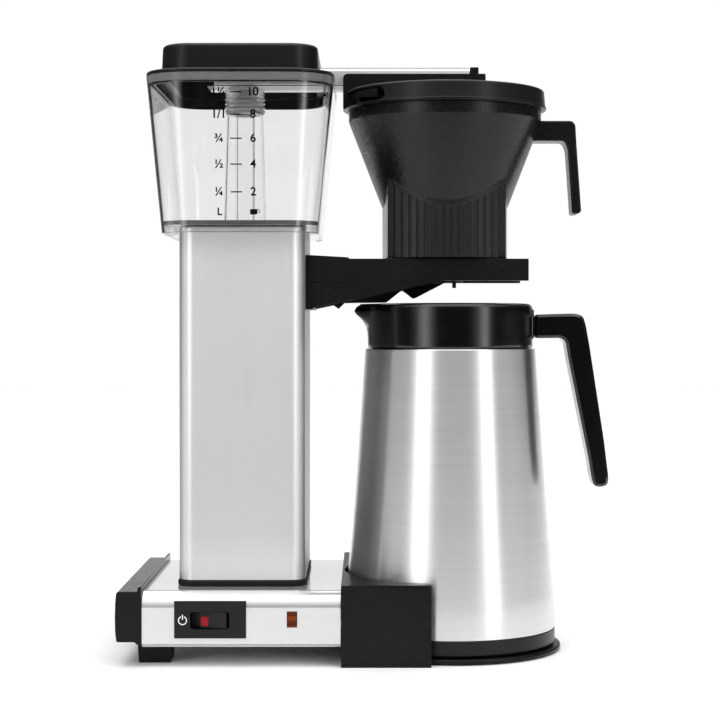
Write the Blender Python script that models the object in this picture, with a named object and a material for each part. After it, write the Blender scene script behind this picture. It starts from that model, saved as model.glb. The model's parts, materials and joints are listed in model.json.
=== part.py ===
"""Tower drip coffee maker with a steel carafe, as separate sub-parts.

Every length below is in millimetres and MM turns it into Blender's metres. X runs
to the right, +Z up and the front faces -Y. The origin is under the middle of the machine.
"""
import math

import bmesh
import bpy
from mathutils import Matrix, Vector

MM = 0.001
GAP = 0.3                     # clearance between pieces that touch
ROUND = 40                    # sides of the large turned pieces
SMALL_ROUND = 16              # sides of the small turned pieces

# Base
BASE_LEFT, BASE_RIGHT = -142.4, -19.0
BASE_FRONT, BASE_BACK = -84.0, 83.0
BASE_BOTTOM, BASE_TOP = 12.3, 46.7
SHEET = 2.0                   # wall of the aluminium sections
LIP = 30.0                    # turned-in edges under the base
CAP_LEFT = -159.1
FRONT, BACK = -85.0, 85.0

# Switch and lamp
PANEL = (-122.2, -77.6, 18.3, 41.5)           # left, right, bottom, top
ROCKER_HOLE = (-112.3, -88.1, 23.9, 34.7)
ROCKER_PIVOT = (-100.2, -76.6)
ROCKER_TILT = 6.0             # degrees to each side of level
LENS = (-52.1, -46.2, 25.2, 34.6)

# Middle plane of the arm, the basket and the carafe
MID_Y = -8.0

# Tower
TOWER_X, TOWER_Y = -82.3, -0.5
TOWER_W, TOWER_D, TOWER_R = 80.6, 115.0, 10.0
TOWER_BOTTOM, TOWER_TOP = 50.8, 273.0
TOP_PLATE = 275.6

# Tank
TANK_X, TANK_Y = -83.3, -4.0
RIM_W, RIM_D, RIM_R, RIM_Z = 119.6, 157.0, 29.0, 370.3
FOOT_W, FOOT_D, FOOT_R, FOOT_Z = 100.8, 136.0, 22.0, 271.0
TANK_WALL = 2.5
FLOOR_UNDER, FLOOR_TOP = 275.9, 279.0
SLEEVE_BOTTOM_R, SLEEVE_TOP_R, SLEEVE_TOP = 15.0, 12.85, 351.4
OUTLET_Y = 30.0               # tank outlet and the boiler's cold leg

# Outlet arm
ARM_LEFT, ARM_RIGHT = -103.3, 65.1
ARM_BOTTOM, ARM_TOP, ARM_HALF = 367.6, 382.4, 7.0

# Brew basket
BASKET_X = 49.0
CONE_TOP_R, CONE_TOP = 63.6, 347.0
CONE_LOW_R, CONE_LOW = 41.9, 291.3
BASKET_RIM = 353.5
FUNNEL_FLOOR = 265.0
LID_R, LID_TOP = 66.9, 366.7
SLEEVE_HALF, SLEEVE_BOW, SLEEVE_SIDE = 38.4, 41.7, 30.0
VALVE_X = 55.2

# Bracket
RAIL_OUT, RAIL_IN = 37.0, 33.5
RAIL_BOTTOM, RAIL_TOP, RAIL_END = 241.3, 255.4, 101.4
BRACKET_LEFT, COLLAR_RIGHT = -41.7, -14.8
LEVER_PIVOT = (-28.0, 233.0)

# Carafe and its holder
CARAFE_X = 52.5
RECESS_R = 69.8
HOLDER_TOP = 51.0
PLATFORM_TOP = 4.0
BODY_R = 69.1
COLLAR_R, COLLAR_BOTTOM, COLLAR_TOP = 54.5, 197.6, 226.8


# ---------------------------------------------------------------- helpers

def clear_scene():
    for old in list(bpy.data.objects):
        bpy.data.objects.remove(old, do_unlink=True)


def material(name, colour, roughness, metallic=0.0, alpha=1.0):
    """A Principled material, made once for each name."""
    found = bpy.data.materials.get(name)
    if found:
        return found
    made = bpy.data.materials.new(name)
    made.use_nodes = True
    shader = made.node_tree.nodes["Principled BSDF"]
    shader.inputs["Base Color"].default_value = (*colour, 1.0)
    shader.inputs["Roughness"].default_value = roughness
    shader.inputs["Metallic"].default_value = metallic
    shader.inputs["Alpha"].default_value = alpha
    return made


def aluminium():
    return material("polished_aluminium", (0.86, 0.86, 0.86), 0.18, 1.0)


def steel():
    return material("brushed_steel", (0.72, 0.71, 0.69), 0.28, 1.0)


def black_plastic():
    return material("black_plastic", (0.016, 0.016, 0.017), 0.38)


def gloss_plastic():
    return material("gloss_black_plastic", (0.010, 0.010, 0.011), 0.16)


def clear_plastic():
    return material("clear_plastic", (0.92, 0.94, 0.95), 0.05, 0.0, 0.25)


def rubber():
    return material("black_rubber", (0.02, 0.02, 0.02), 0.75)


def silicone():
    return material("white_silicone", (0.78, 0.78, 0.76), 0.5)


def copper():
    return material("copper", (0.80, 0.42, 0.27), 0.3, 1.0)


def make(name, bm, finish, origin=(0.0, 0.0, 0.0), smooth_angle=35.0):
    """Turn a bmesh, drawn in world metres, into an object with its origin at origin (mm)."""
    bmesh.ops.remove_doubles(bm, verts=bm.verts, dist=1e-6)
    bmesh.ops.recalc_face_normals(bm, faces=bm.faces)
    mesh = bpy.data.meshes.new(name)
    bm.to_mesh(mesh)
    bm.free()
    place = Vector(origin) * MM
    mesh.transform(Matrix.Translation(-place))
    mesh.shade_smooth()
    mesh.set_sharp_from_angle(angle=math.radians(smooth_angle))
    if finish:
        mesh.materials.append(finish)
    made = bpy.data.objects.new(name, mesh)
    made.location = place
    bpy.context.scene.collection.objects.link(made)
    return made


def arc(cx, cy, radius, start, end, steps):
    """Points of an arc, from start to end in degrees."""
    turns = [math.radians(start + (end - start) * i / steps) for i in range(steps + 1)]
    return [(cx + radius * math.cos(t), cy + radius * math.sin(t)) for t in turns]


def rounded_rect(cx, cy, width, depth, radius, steps=5):
    """Outline of a rectangle with round corners, anticlockwise."""
    x, y = width / 2 - radius, depth / 2 - radius
    corners = [(x, y, 0), (-x, y, 90), (-x, -y, 180), (x, -y, 270)]
    points = []
    for px, py, angle in corners:
        points += arc(cx + px, cy + py, radius, angle, angle + 90, steps)
    return points


def at_axis(axis, u, v, w):
    """A point from two outline coordinates and the place along the axis, in metres."""
    point = {"X": (w, u, v), "Y": (u, w, v), "Z": (u, v, w)}[axis]
    return Vector(point) * MM


def prism(outline, axis, low, high):
    """An outline extruded along X, Y or Z."""
    bm = bmesh.new()
    ring = [bm.verts.new(at_axis(axis, u, v, low)) for u, v in outline]
    base = bm.faces.new(ring)
    grown = bmesh.ops.extrude_face_region(bm, geom=[base])["geom"]
    moved = [item for item in grown if isinstance(item, bmesh.types.BMVert)]
    shift = at_axis(axis, 0.0, 0.0, high - low)
    bmesh.ops.translate(bm, verts=moved, vec=shift)
    return bm


def block(x, y, z):
    """A box given by its (low, high) pairs."""
    outline = [(x[0], y[0]), (x[1], y[0]), (x[1], y[1]), (x[0], y[1])]
    return prism(outline, "Z", z[0], z[1])


def loft(loops, closed=False):
    """Bridge outlines at given heights; the ends are capped, or joined when closed."""
    bm = bmesh.new()
    rings = [[bm.verts.new(Vector((x, y, z)) * MM) for x, y in outline] for outline, z in loops]
    pairs = list(zip(rings, rings[1:]))
    if closed:
        pairs.append((rings[-1], rings[0]))
    else:
        bm.faces.new(rings[0])
        bm.faces.new(rings[-1])
    for low, high in pairs:
        for i in range(len(low)):
            j = (i + 1) % len(low)
            bm.faces.new((low[i], low[j], high[j], high[i]))
    return bm


def turned(profile, centre, axis="Z", sides=ROUND):
    """A closed (radius, place along the axis) profile spun about an axis through centre."""
    bm = bmesh.new()
    cu, cv = centre
    ring = [bm.verts.new(at_axis(axis, cu + r, cv, w)) for r, w in profile]
    edges = [bm.edges.new((ring[i], ring[(i + 1) % len(ring)])) for i in range(len(ring))]
    bmesh.ops.spin(
        bm,
        geom=ring + edges,
        cent=at_axis(axis, cu, cv, 0.0),
        axis={"X": (1, 0, 0), "Y": (0, 1, 0), "Z": (0, 0, 1)}[axis],
        angle=2 * math.pi,
        steps=sides,
        use_merge=True,
    )
    return bm


def rod(radius, low, high):
    """Profile of a plain round bar."""
    return [(0.0, low), (radius, low), (radius, high), (0.0, high)]


def pipe(outer, inner, low, high):
    """Profile of a plain tube."""
    return [(inner, low), (outer, low), (outer, high), (inner, high)]


def hull(points):
    bm = bmesh.new()
    for point in points:
        bm.verts.new(Vector(point) * MM)
    made = bmesh.ops.convex_hull(bm, input=bm.verts)
    spare = [item for item in made["geom_interior"] if isinstance(item, bmesh.types.BMVert)]
    bmesh.ops.delete(bm, geom=spare, context="VERTS")
    return bm


def combine(target, bm, operation, bevel=0.0):
    """Join a form to target or cut it out; the form stays as a hidden guide."""
    name = f"guide_{target.name}_{len(target.modifiers)}"
    guide = make(name, bm, None)
    guide.hide_render = True
    guide.display_type = "WIRE"
    if bevel:
        round_edges(guide, bevel)
    change = target.modifiers.new(name, "BOOLEAN")
    change.operation = operation
    change.solver = "EXACT"
    change.object = guide
    return guide


def cut(target, bm, bevel=0.0):
    return combine(target, bm, "DIFFERENCE", bevel)


def join(target, bm, bevel=0.0):
    return combine(target, bm, "UNION", bevel)


def round_edges(target, width, segments=2, angle=40.0):
    change = target.modifiers.new("round_edges", "BEVEL")
    change.width = width * MM
    change.segments = segments
    change.limit_method = "ANGLE"
    change.angle_limit = math.radians(angle)


def wire(name, points, radius, finish, resolution=2):
    """A round bar along points, as a bevelled curve with filled ends."""
    curve = bpy.data.curves.new(name, "CURVE")
    curve.dimensions = "3D"
    curve.bevel_depth = radius * MM
    curve.bevel_resolution = resolution
    curve.use_fill_caps = True
    spline = curve.splines.new("POLY")
    spline.points.add(len(points) - 1)
    for slot, point in zip(spline.points, points):
        slot.co = (*(Vector(point) * MM), 1.0)
    curve.materials.append(finish)
    made = bpy.data.objects.new(name, curve)
    bpy.context.scene.collection.objects.link(made)
    return made


def coil(radius, turns, steps_per_turn, length):
    """Helix points about Z, from height 0 to length."""
    count = turns * steps_per_turn
    points = []
    for i in range(count + 1):
        turn = 2 * math.pi * i / steps_per_turn
        points.append((radius * math.cos(turn), radius * math.sin(turn), length * i / count))
    return points


def screw(name, centre, axis, head, shank):
    """A pan-head screw; head and shank are (radius, low, high) along the axis."""
    (head_r, h0, h1), (shank_r, s0, s1) = head, shank
    if s0 < h0:
        profile = [(0, s0), (shank_r, s0), (shank_r, h0), (head_r, h0), (head_r, h1), (0, h1)]
    else:
        profile = [(0, h0), (head_r, h0), (head_r, h1), (shank_r, h1), (shank_r, s1), (0, s1)]
    return make(name, turned(profile, centre, axis, 12), steel())


# ---------------------------------------------------------------- base

def base_section():
    """Outline in Y and Z of the folded base: a box open between two lips below."""
    r_top, r_low = 10.0, 2.5
    front, back, low, top = BASE_FRONT, BASE_BACK, BASE_BOTTOM, BASE_TOP
    outer = [(front + LIP, low)]
    outer += arc(front + r_low, low + r_low, r_low, 270, 180, 2)
    outer += arc(front + r_top, top - r_top, r_top, 180, 90, 5)
    outer += arc(back - r_top, top - r_top, r_top, 90, 0, 5)
    outer += arc(back - r_low, low + r_low, r_low, 0, -90, 2)
    outer += [(back - LIP, low)]
    inside = r_top - SHEET
    inner = [(back - LIP, low + SHEET), (back - SHEET, low + SHEET)]
    inner += arc(back - r_top, top - r_top, inside, 0, 90, 5)
    inner += arc(front + r_top, top - r_top, inside, 90, 180, 5)
    inner += [(front + SHEET, low + SHEET), (front + LIP, low + SHEET)]
    return outer + inner


def base_screw_places():
    return [(x, y) for x in (-114.0, -32.0) for y in (-60.0, 59.0)]


def base_housing():
    body = make("base_housing", prism(base_section(), "X", BASE_LEFT, BASE_RIGHT), aluminium())
    left, right, low, high = PANEL
    inset = 3.5
    wall = (BASE_FRONT - 3, BASE_FRONT + 5)
    cut(body, block((left + inset, right - inset), wall, (low + 2.5, high - 2.5)))
    left, right, low, high = LENS
    cut(body, block((left - GAP, right + GAP), wall, (low - GAP, high + GAP)))
    cut(body, block((-115.0, -50.0), (-45.0, 45.0), (BASE_TOP - 5, BASE_TOP + 5)))
    cut(body, turned(rod(6.0, BASE_BACK - 5, BASE_BACK + 5), (-110.0, 27.0), "Y", SMALL_ROUND))
    for place in base_screw_places():
        cut(body, turned(rod(1.8, BASE_BOTTOM - 2, BASE_BOTTOM + 3.5), place, "Z", 12))


def base_plate():
    low = BASE_BOTTOM + SHEET + GAP
    plate = make("base_plate", block((-141.0, -20.0), (-80.5, 79.5), (low, low + 1.5)), steel())
    for place in base_screw_places():
        cut(plate, turned(rod(1.8, low - 1, low + 3), place, "Z", 12))
    for step in range(5):
        x = -98.0 + 9.0 * step
        cut(plate, block((x, x + 3.0), (-20.0, 20.0), (low - 1, low + 3)))


def base_screws():
    head = (3.2, 10.2, BASE_BOTTOM - GAP)
    shank = (1.5, BASE_BOTTOM - GAP, 20.0)
    for number, place in enumerate(base_screw_places(), 1):
        screw(f"base_screw_{number}", place, "Z", head, shank)


def left_end_cap():
    outline = [(-146.6, 15.8), (-158.2, 15.8), (-158.9, 22.0), (CAP_LEFT, 30.0), (-158.9, 40.0)]
    outline += [(-158.3, 46.2), (-157.4, 47.2), (-145.2, 47.2), (-144.8, 50.2), (-142.7, 50.2)]
    outline += [(-142.7, 14.2), (-145.6, 14.2)]
    cap = make("left_end_cap", prism(outline, "Y", FRONT, 84.0), black_plastic())
    round_edges(cap, 0.8)
    cut(cap, block((-156.0, -140.0), (-82.0, 81.0), (18.5, 44.8)))


def feet():
    outline = [(-147.1, 12.0), (-145.0, 1.2), (-142.6, 0.0), (-123.2, 0.0), (-122.9, 12.0)]
    for name, low in (("foot_front_left", -67.0), ("foot_rear_left", 43.0)):
        make(name, prism(outline, "Y", low, low + 24.0), rubber())


def carafe_holder():
    """Block whose round recess wraps the carafe's left side, with the disc it stands on."""
    right, rear_right = 37.4, 45.0
    outline = [(BASE_RIGHT + GAP, FRONT), (right, FRONT), (right, MID_Y), (rear_right, MID_Y)]
    outline += [(rear_right, BASE_BACK), (BASE_RIGHT + GAP, BASE_BACK)]
    holder = make("carafe_holder", prism(outline, "Z", 0.0, HOLDER_TOP), black_plastic())
    round_edges(holder, 1.0)
    recess = rod(RECESS_R, PLATFORM_TOP, HOLDER_TOP + 5)
    cut(holder, turned(recess, (CARAFE_X, MID_Y), "Z", 56))
    disc = [(0, 0.8), (70.4, 0.8), (71.6, 1.8), (71.6, 3.0), (70.6, PLATFORM_TOP), (0, PLATFORM_TOP)]
    join(holder, turned(disc, (53.6, MID_Y), "Z", 56))
    pocket = [(-15.5, -81.5), (10.0, -81.5), (-15.5, -50.0)]
    cut(holder, prism(pocket, "Z", -1.0, HOLDER_TOP - 4))
    mirrored = [(x, -y - 2.5) for x, y in pocket]
    cut(holder, prism(mirrored, "Z", -1.0, HOLDER_TOP - 4))


def switch_panel():
    left, right, low, high = PANEL
    plate = block((left, right), (FRONT, BASE_FRONT - GAP), (low, high))
    panel = make("switch_panel", plate, black_plastic())
    inset = 3.8
    plug = block((left + inset, right - inset), (BASE_FRONT - 0.5, -76.0), (low + 2.8, high - 2.8))
    join(panel, plug)
    left, right, low, high = ROCKER_HOLE
    width, height = right - left, high - low
    hole = rounded_rect((left + right) / 2, (low + high) / 2, width, height, 0.5, 2)
    cut(panel, prism(hole, "Y", FRONT - 3, -70.0))


def power_rocker():
    """Round-ended rocker with a shallow V face, tipped towards its left end at rest."""
    px, py = ROCKER_PIVOT
    radius, middle, rise = 11.8, 5.6, 6.9
    outline = [(-radius, 0.9), (radius, 0.9), (radius, 0.0)]
    outline += [(radius - 0.5, -rise + 0.4), (radius - 1.1, -rise), (0.0, -middle)]
    outline += [(-5.9, -middle - 0.4), (-6.2, -middle), (-6.4, -2.6), (-radius + 0.4, -2.2)]
    outline += [(-radius, 0.0)]
    world = []
    tilt = math.radians(ROCKER_TILT)
    for x, y in outline:
        turned_x = x * math.cos(tilt) + y * math.sin(tilt)
        turned_y = -x * math.sin(tilt) + y * math.cos(tilt)
        world.append((px + turned_x, py + turned_y))
    low, high = ROCKER_HOLE[2] + GAP, ROCKER_HOLE[3] - GAP
    make("power_rocker", prism(world, "Z", low, high), black_plastic(), (px, py, (low + high) / 2))


def switch_body():
    body = make("switch_body", block((-111.5, -88.9), (-73.6, -56.0), (22.0, 36.6)), gloss_plastic())
    for x in (-107.0, -100.9, -94.8):
        join(body, block((x, x + 1.6), (-57.0, -48.0), (27.0, 32.0)))


def indicator():
    left, right, low, high = LENS
    amber = material("amber_lens", (0.75, 0.20, 0.02), 0.12)
    lens = make("indicator_lens", block((left, right), (-84.7, -72.0), (low, high)), amber)
    round_edges(lens, 0.5)
    centre = ((left + right) / 2, (low + high) / 2)
    glass = material("lamp_glass", (0.9, 0.5, 0.3), 0.1, 0.0, 0.6)
    profile = [(0, -71.7), (2.2, -71.2), (2.8, -70.0), (2.8, -58.0), (0, -58.0)]
    make("indicator_lamp", turned(profile, centre, "Y", SMALL_ROUND), glass)


def terminal_block():
    finish = material("terminal_ceramic", (0.85, 0.84, 0.80), 0.5)
    body = make("terminal_block", block((-72.0, -40.0), (52.0, 68.0), (16.5, 30.0)), finish)
    for step in range(3):
        place = (-66.0 + 10.0 * step, 60.0)
        cut(body, turned(rod(2.2, 23.0, 33.0), place, "Z", 12))


def cord_gland():
    """Bush in the back wall that the mains cord enters through."""
    profile = [(3.4, 74.0), (5.7, 74.0), (5.7, BASE_BACK + GAP), (9.0, BASE_BACK + GAP)]
    profile += [(9.0, 84.4), (8.0, BACK), (3.4, BACK)]
    make("cord_gland", turned(profile, (-110.0, 27.0), "Y", SMALL_ROUND + 4), rubber())


# ---------------------------------------------------------------- tower

def section(cx, cy, width, depth, radius, wall, low, high):
    """A rounded rectangular tube standing upright."""
    outer = rounded_rect(cx, cy, width, depth, radius)
    inner = rounded_rect(cx, cy, width - 2 * wall, depth - 2 * wall, max(radius - wall, 1.0))
    return loft([(outer, low), (outer, high), (inner, high), (inner, low)], closed=True)


def bracket_screw_places():
    return [(MID_Y - 22.0, 240.0), (MID_Y + 22.0, 240.0)]


def tower():
    proud = 0.8
    ring = section(
        TOWER_X, TOWER_Y, TOWER_W + 2 * proud, TOWER_D + 2 * proud, TOWER_R + proud,
        SHEET + proud, BASE_TOP + GAP, TOWER_BOTTOM - GAP,
    )
    make("tower_gasket", ring, rubber())
    tube = section(TOWER_X, TOWER_Y, TOWER_W, TOWER_D, TOWER_R, SHEET, TOWER_BOTTOM, TOWER_TOP)
    housing = make("tower_housing", tube, aluminium())
    wall = (BRACKET_LEFT - 5, BRACKET_LEFT + 3)
    for place in bracket_screw_places():
        cut(housing, turned(rod(1.8, *wall), place, "X", 12))


def tower_top():
    """Lid of the tower that the tank stands on, with a skirt inside the tower."""
    flange = rounded_rect(TOWER_X, TOWER_Y, TOWER_W, TOWER_D, TOWER_R)
    slack = 2 * (SHEET + GAP)
    plug = rounded_rect(TOWER_X, TOWER_Y, TOWER_W - slack, TOWER_D - slack, TOWER_R - 2.3)
    inner = rounded_rect(TOWER_X, TOWER_Y, TOWER_W - slack - 6, TOWER_D - slack - 6, 5.0)
    under = TOWER_TOP + GAP
    loops = [(flange, TOP_PLATE), (flange, under), (plug, under), (plug, 262.0)]
    loops += [(inner, 262.0), (inner, under)]
    top = make("tower_top", loft(loops), black_plastic())
    cut(top, turned(rod(8.0, 268.0, 280.0), (TANK_X, MID_Y), "Z", SMALL_ROUND))
    cut(top, turned(rod(9.0, 268.0, 280.0), (TANK_X, OUTLET_Y), "Z", SMALL_ROUND))


def water_path():
    """Cold leg from the tank, boiler, and hot leg up to the outlet arm."""
    cold, hot = (TANK_X, OUTLET_Y), (TANK_X, MID_Y)
    seal = [(4.0, 252.0), (5.5, 252.0), (5.5, 266.0), (8.7, 267.0), (8.7, TOP_PLATE), (4.0, TOP_PLATE)]
    make("inlet_seal", turned(seal, cold, "Z", SMALL_ROUND), silicone())
    make("cold_water_hose", turned(pipe(5.5, 3.5, 238.3, 251.7), cold, "Z", SMALL_ROUND), silicone())
    valve = [(2.5, 222.0), (5.0, 222.0), (5.0, 225.0), (7.5, 226.0), (7.5, 234.0), (5.0, 235.0)]
    valve += [(5.0, 238.0), (2.5, 238.0)]
    make("check_valve", turned(valve, cold, "Z", SMALL_ROUND), gloss_plastic())
    bend = (OUTLET_Y - MID_Y) / 2
    leg_top, bend_z = 221.7, 94.0
    path = [(TANK_X, OUTLET_Y, leg_top)]
    for y, z in arc(MID_Y + bend, bend_z, bend, 0, -180, 10):
        path.append((TANK_X, y, z))
    path.append((TANK_X, MID_Y, leg_top))
    wire("boiler_tube", path, 5.0, copper())
    make("heating_element", turned(pipe(9.5, 5.4, 105.0, 200.0), hot, "Z", SMALL_ROUND), aluminium())
    face = TANK_X + 9.5 + GAP
    disc = [(0, face), (8.0, face), (8.0, face + 5), (5.0, face + 8), (0, face + 8)]
    make("thermostat", turned(disc, (MID_Y, 180.0), "X", SMALL_ROUND), steel())
    fuse = (TANK_X - 12.2, MID_Y)
    make("thermal_fuse", turned(rod(2.2, 130.0, 150.0), fuse, "Z", 12), copper())
    make("riser_hose", turned(pipe(6.2, 4.0, 222.0, 250.0), hot, "Z", SMALL_ROUND), silicone())
    glass = material("riser_glass", (0.92, 0.95, 0.96), 0.03, 0.0, 0.3)
    make("riser_tube", turned(pipe(6.2, 5.0, 250.3, 367.3), hot, "Z", SMALL_ROUND), glass)


# ---------------------------------------------------------------- tank

def tank_outline(height, inset=0.0):
    """The tank's tapered outline at a height, moved in by inset."""
    t = (height - FOOT_Z) / (RIM_Z - FOOT_Z)
    width = FOOT_W + (RIM_W - FOOT_W) * t - 2 * inset
    depth = FOOT_D + (RIM_D - FOOT_D) * t - 2 * inset
    radius = FOOT_R + (RIM_R - FOOT_R) * t - inset
    return rounded_rect(TANK_X, TANK_Y, width, depth, radius, 6)


def arm_slot(low, high):
    """Slot on the tank's right side that the outlet arm lies in."""
    half = ARM_HALF + 1.2
    return block((-60.0, -10.0), (MID_Y - half, MID_Y + half), (low, high))


def water_tank():
    loops = [(tank_outline(FLOOR_TOP, TANK_WALL), FLOOR_TOP), (tank_outline(RIM_Z, TANK_WALL), RIM_Z)]
    loops += [(tank_outline(RIM_Z), RIM_Z), (tank_outline(FOOT_Z), FOOT_Z)]
    loops += [(tank_outline(FOOT_Z, TANK_WALL), FOOT_Z)]
    loops += [(tank_outline(FLOOR_UNDER, TANK_WALL), FLOOR_UNDER)]
    tank = make("water_tank", loft(loops), clear_plastic())
    outer = [(0, FLOOR_TOP - 1), (SLEEVE_BOTTOM_R, FLOOR_TOP - 1)]
    outer += [(SLEEVE_TOP_R, SLEEVE_TOP), (0, SLEEVE_TOP)]
    centre = (TANK_X, MID_Y)
    join(tank, turned(outer, centre, "Z", 24))
    inner = [(0, 270.0), (SLEEVE_BOTTOM_R - 2, 270.0), (SLEEVE_TOP_R - 2, 358.0), (0, 358.0)]
    cut(tank, turned(inner, centre, "Z", 24))
    cut(tank, turned(rod(5.0, 270.0, 285.0), (TANK_X, OUTLET_Y), "Z", SMALL_ROUND))
    cut(tank, arm_slot(ARM_BOTTOM - 0.6, RIM_Z + 5))


def riser_connector():
    """Ribbed coupling on top of the tank's sleeve."""
    profile = [(6.6, 351.7), (12.4, 351.7)]
    for step in range(4):
        z = 353.0 + 3.4 * step
        profile += [(12.4, z), (13.35, z + 0.7), (13.35, z + 1.5), (12.4, z + 2.2)]
    profile += [(12.4, 367.3), (6.6, 367.3)]
    make("riser_connector", turned(profile, (TANK_X, MID_Y), "Z", SMALL_ROUND), clear_plastic())


def outlet_arm():
    y = (MID_Y - ARM_HALF, MID_Y + ARM_HALF)
    outside = block((ARM_LEFT, ARM_RIGHT), y, (ARM_BOTTOM, ARM_TOP))
    arm = make("outlet_arm", outside, steel())
    round_edges(arm, 1.0)
    inside = block((ARM_LEFT + 1, ARM_RIGHT + 5), (y[0] + 1, y[1] - 1), (ARM_BOTTOM + 1, ARM_TOP - 1))
    cut(arm, inside)
    under = (ARM_BOTTOM - 2, ARM_BOTTOM + 3)
    cut(arm, turned(rod(5.2, *under), (TANK_X, MID_Y), "Z", SMALL_ROUND))
    for step in range(5):
        cut(arm, turned(rod(1.5, *under), (30.0 + 5.5 * step, MID_Y), "Z", 10))


def arm_end_plug():
    half = ARM_HALF + 0.3
    face = block((ARM_RIGHT + GAP, 71.0), (MID_Y - half, MID_Y + half), (ARM_BOTTOM, ARM_TOP + GAP))
    plug = make("arm_end_plug", face, black_plastic())
    round_edges(plug, 0.6)
    low, high = ARM_BOTTOM + 1.4, ARM_TOP - 1.4
    join(plug, block((56.0, ARM_RIGHT + 2), (MID_Y - 5.6, MID_Y + 5.6), (low, high)))


def tank_lid():
    """Cap with a raised hollow middle and a short skirt that reaches into the tank."""
    def centred(width, depth, radius):
        return rounded_rect(TANK_X, TANK_Y, width, depth, radius, 6)

    flange = tank_outline(RIM_Z)
    low = RIM_Z + GAP
    skirt = 364.8
    loops = [(centred(95.6, 128.8, 17.0), 390.4), (centred(98.6, 131.8, 18.5), 388.9)]
    loops += [(centred(100.4, 133.6, 19.0), 373.0), (flange, 372.8), (flange, low)]
    loops += [(centred(111.6, 148.6, 25.0), low), (centred(111.0, 148.0, 25.0), skirt)]
    loops += [(centred(107.4, 144.4, 23.2), skirt), (centred(107.4, 144.4, 23.2), low + 0.4)]
    loops += [(centred(96.4, 129.6, 17.0), low + 0.8), (centred(94.0, 127.2, 16.0), 388.2)]
    lid = make("tank_lid", loft(loops), black_plastic())
    cut(lid, arm_slot(360.0, ARM_TOP + 0.6))


# ---------------------------------------------------------------- basket and bracket

def sleeve_outline():
    """Plan of the ribbed sleeve: flat sides with bowed front and back."""
    rise = SLEEVE_BOW - SLEEVE_SIDE
    radius = (SLEEVE_HALF ** 2 + rise ** 2) / (2 * rise)
    spread = math.degrees(math.asin(SLEEVE_HALF / radius))
    back = arc(BASKET_X, MID_Y + SLEEVE_BOW - radius, radius, 90 - spread, 90 + spread, 8)
    front = arc(BASKET_X, MID_Y - SLEEVE_BOW + radius, radius, 270 - spread, 270 + spread, 8)
    return back + front


def cone_radius(height):
    return CONE_LOW_R + (CONE_TOP_R - CONE_LOW_R) * (height - CONE_LOW) / (CONE_TOP - CONE_LOW)


def basket_handle_outline():
    outline = [(98.0, 333.8), (104.0, 347.1), (129.8, 347.1), (133.2, 345.8), (134.6, 342.8)]
    outline += [(135.2, 333.0), (138.4, 287.4), (132.4, 285.4), (129.4, 328.4), (127.9, 332.4)]
    outline += [(124.0, 333.8)]
    return outline


def brew_basket():
    centre = (BASKET_X, MID_Y)
    low = FUNNEL_FLOOR - 3.0
    outer = [(0, low), (cone_radius(low), low), (CONE_TOP_R - 0.6, CONE_TOP), (CONE_TOP_R, CONE_TOP + 0.8)]
    outer += [(CONE_TOP_R, BASKET_RIM), (0, BASKET_RIM)]
    basket = make("brew_basket", turned(outer, centre), black_plastic())
    join(basket, prism(sleeve_outline(), "Z", 256.0, 312.0))
    foot_half = RAIL_IN - 0.6
    foot_y = (MID_Y - foot_half, MID_Y + foot_half)
    join(basket, block((13.0, 87.0), foot_y, (RAIL_BOTTOM + 2.8, 257.0)))
    join(basket, prism(basket_handle_outline(), "Y", MID_Y - 10.0, MID_Y + 10.0), 1.2)
    wall = 2.3
    inner = [(0, FUNNEL_FLOOR), (cone_radius(FUNNEL_FLOOR) - wall, FUNNEL_FLOOR)]
    inner += [(CONE_TOP_R - wall, CONE_TOP), (CONE_TOP_R - wall, BASKET_RIM + 5), (0, BASKET_RIM + 5)]
    cut(basket, turned(inner, centre))
    valve = (VALVE_X, MID_Y)
    cut(basket, turned(rod(4.6, 240.0, FUNNEL_FLOOR + 3), valve, "Z", SMALL_ROUND))
    cut(basket, turned(rod(6.8, 240.0, 255.0), valve, "Z", SMALL_ROUND))


def basket_lid():
    """Round lid with an open-topped channel that the outlet arm lies in."""
    under, plate, skirt = LID_TOP - 4.1, LID_TOP - 2.0, 353.8
    profile = [(0, under), (61.5, under), (61.5, skirt), (64.0, skirt), (64.0, 354.3), (LID_R, 354.3)]
    profile += [(LID_R, 355.6), (LID_R - 0.5, 356.2), (65.6, LID_TOP - 1.5), (64.0, LID_TOP)]
    profile += [(62.0, LID_TOP), (61.0, plate), (0, plate)]
    lid = make("basket_lid", turned(profile, (BASKET_X, MID_Y)), black_plastic())
    left, right, wall, half = -18.3, 75.5, 1.9, ARM_HALF + 0.6
    front, back = MID_Y - half, MID_Y + half
    channel = [(left, front - wall), (right, front - wall), (right, back + wall), (left, back + wall)]
    channel += [(left, back), (right - wall, back), (right - wall, front), (left, front)]
    join(lid, prism(channel, "Z", plate - 0.7, 378.0))
    cut(lid, block((left - 5, 0.0), (front, back), (plate, 373.0)))
    cut(lid, block((28.0, 56.0), (MID_Y - 3.0, MID_Y + 3.0), (under - 5, plate + 3)))


def drip_valve():
    centre = (VALVE_X, MID_Y)
    rest = FUNNEL_FLOOR + GAP
    profile = [(0, 237.3), (1.3, 237.3), (1.3, 240.7), (6.0, 240.7), (6.0, 242.0), (2.5, 242.0)]
    profile += [(2.5, rest + 1.5), (7.0, rest + 1.5), (7.0, rest + 2.7), (0, rest + 4.0)]
    origin = (VALVE_X, MID_Y, rest)
    make("drip_valve", turned(profile, centre, "Z", SMALL_ROUND), black_plastic(), origin)
    seal = pipe(6.6, 2.8, rest, rest + 1.2)
    make("valve_seal", turned(seal, centre, "Z", SMALL_ROUND), silicone(), origin)
    points = [(x + VALVE_X, y + MID_Y, z + 242.8) for x, y, z in coil(4.4, 5, 8, 7.6)]
    wire("valve_spring", points, 0.45, steel(), 1)


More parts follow.
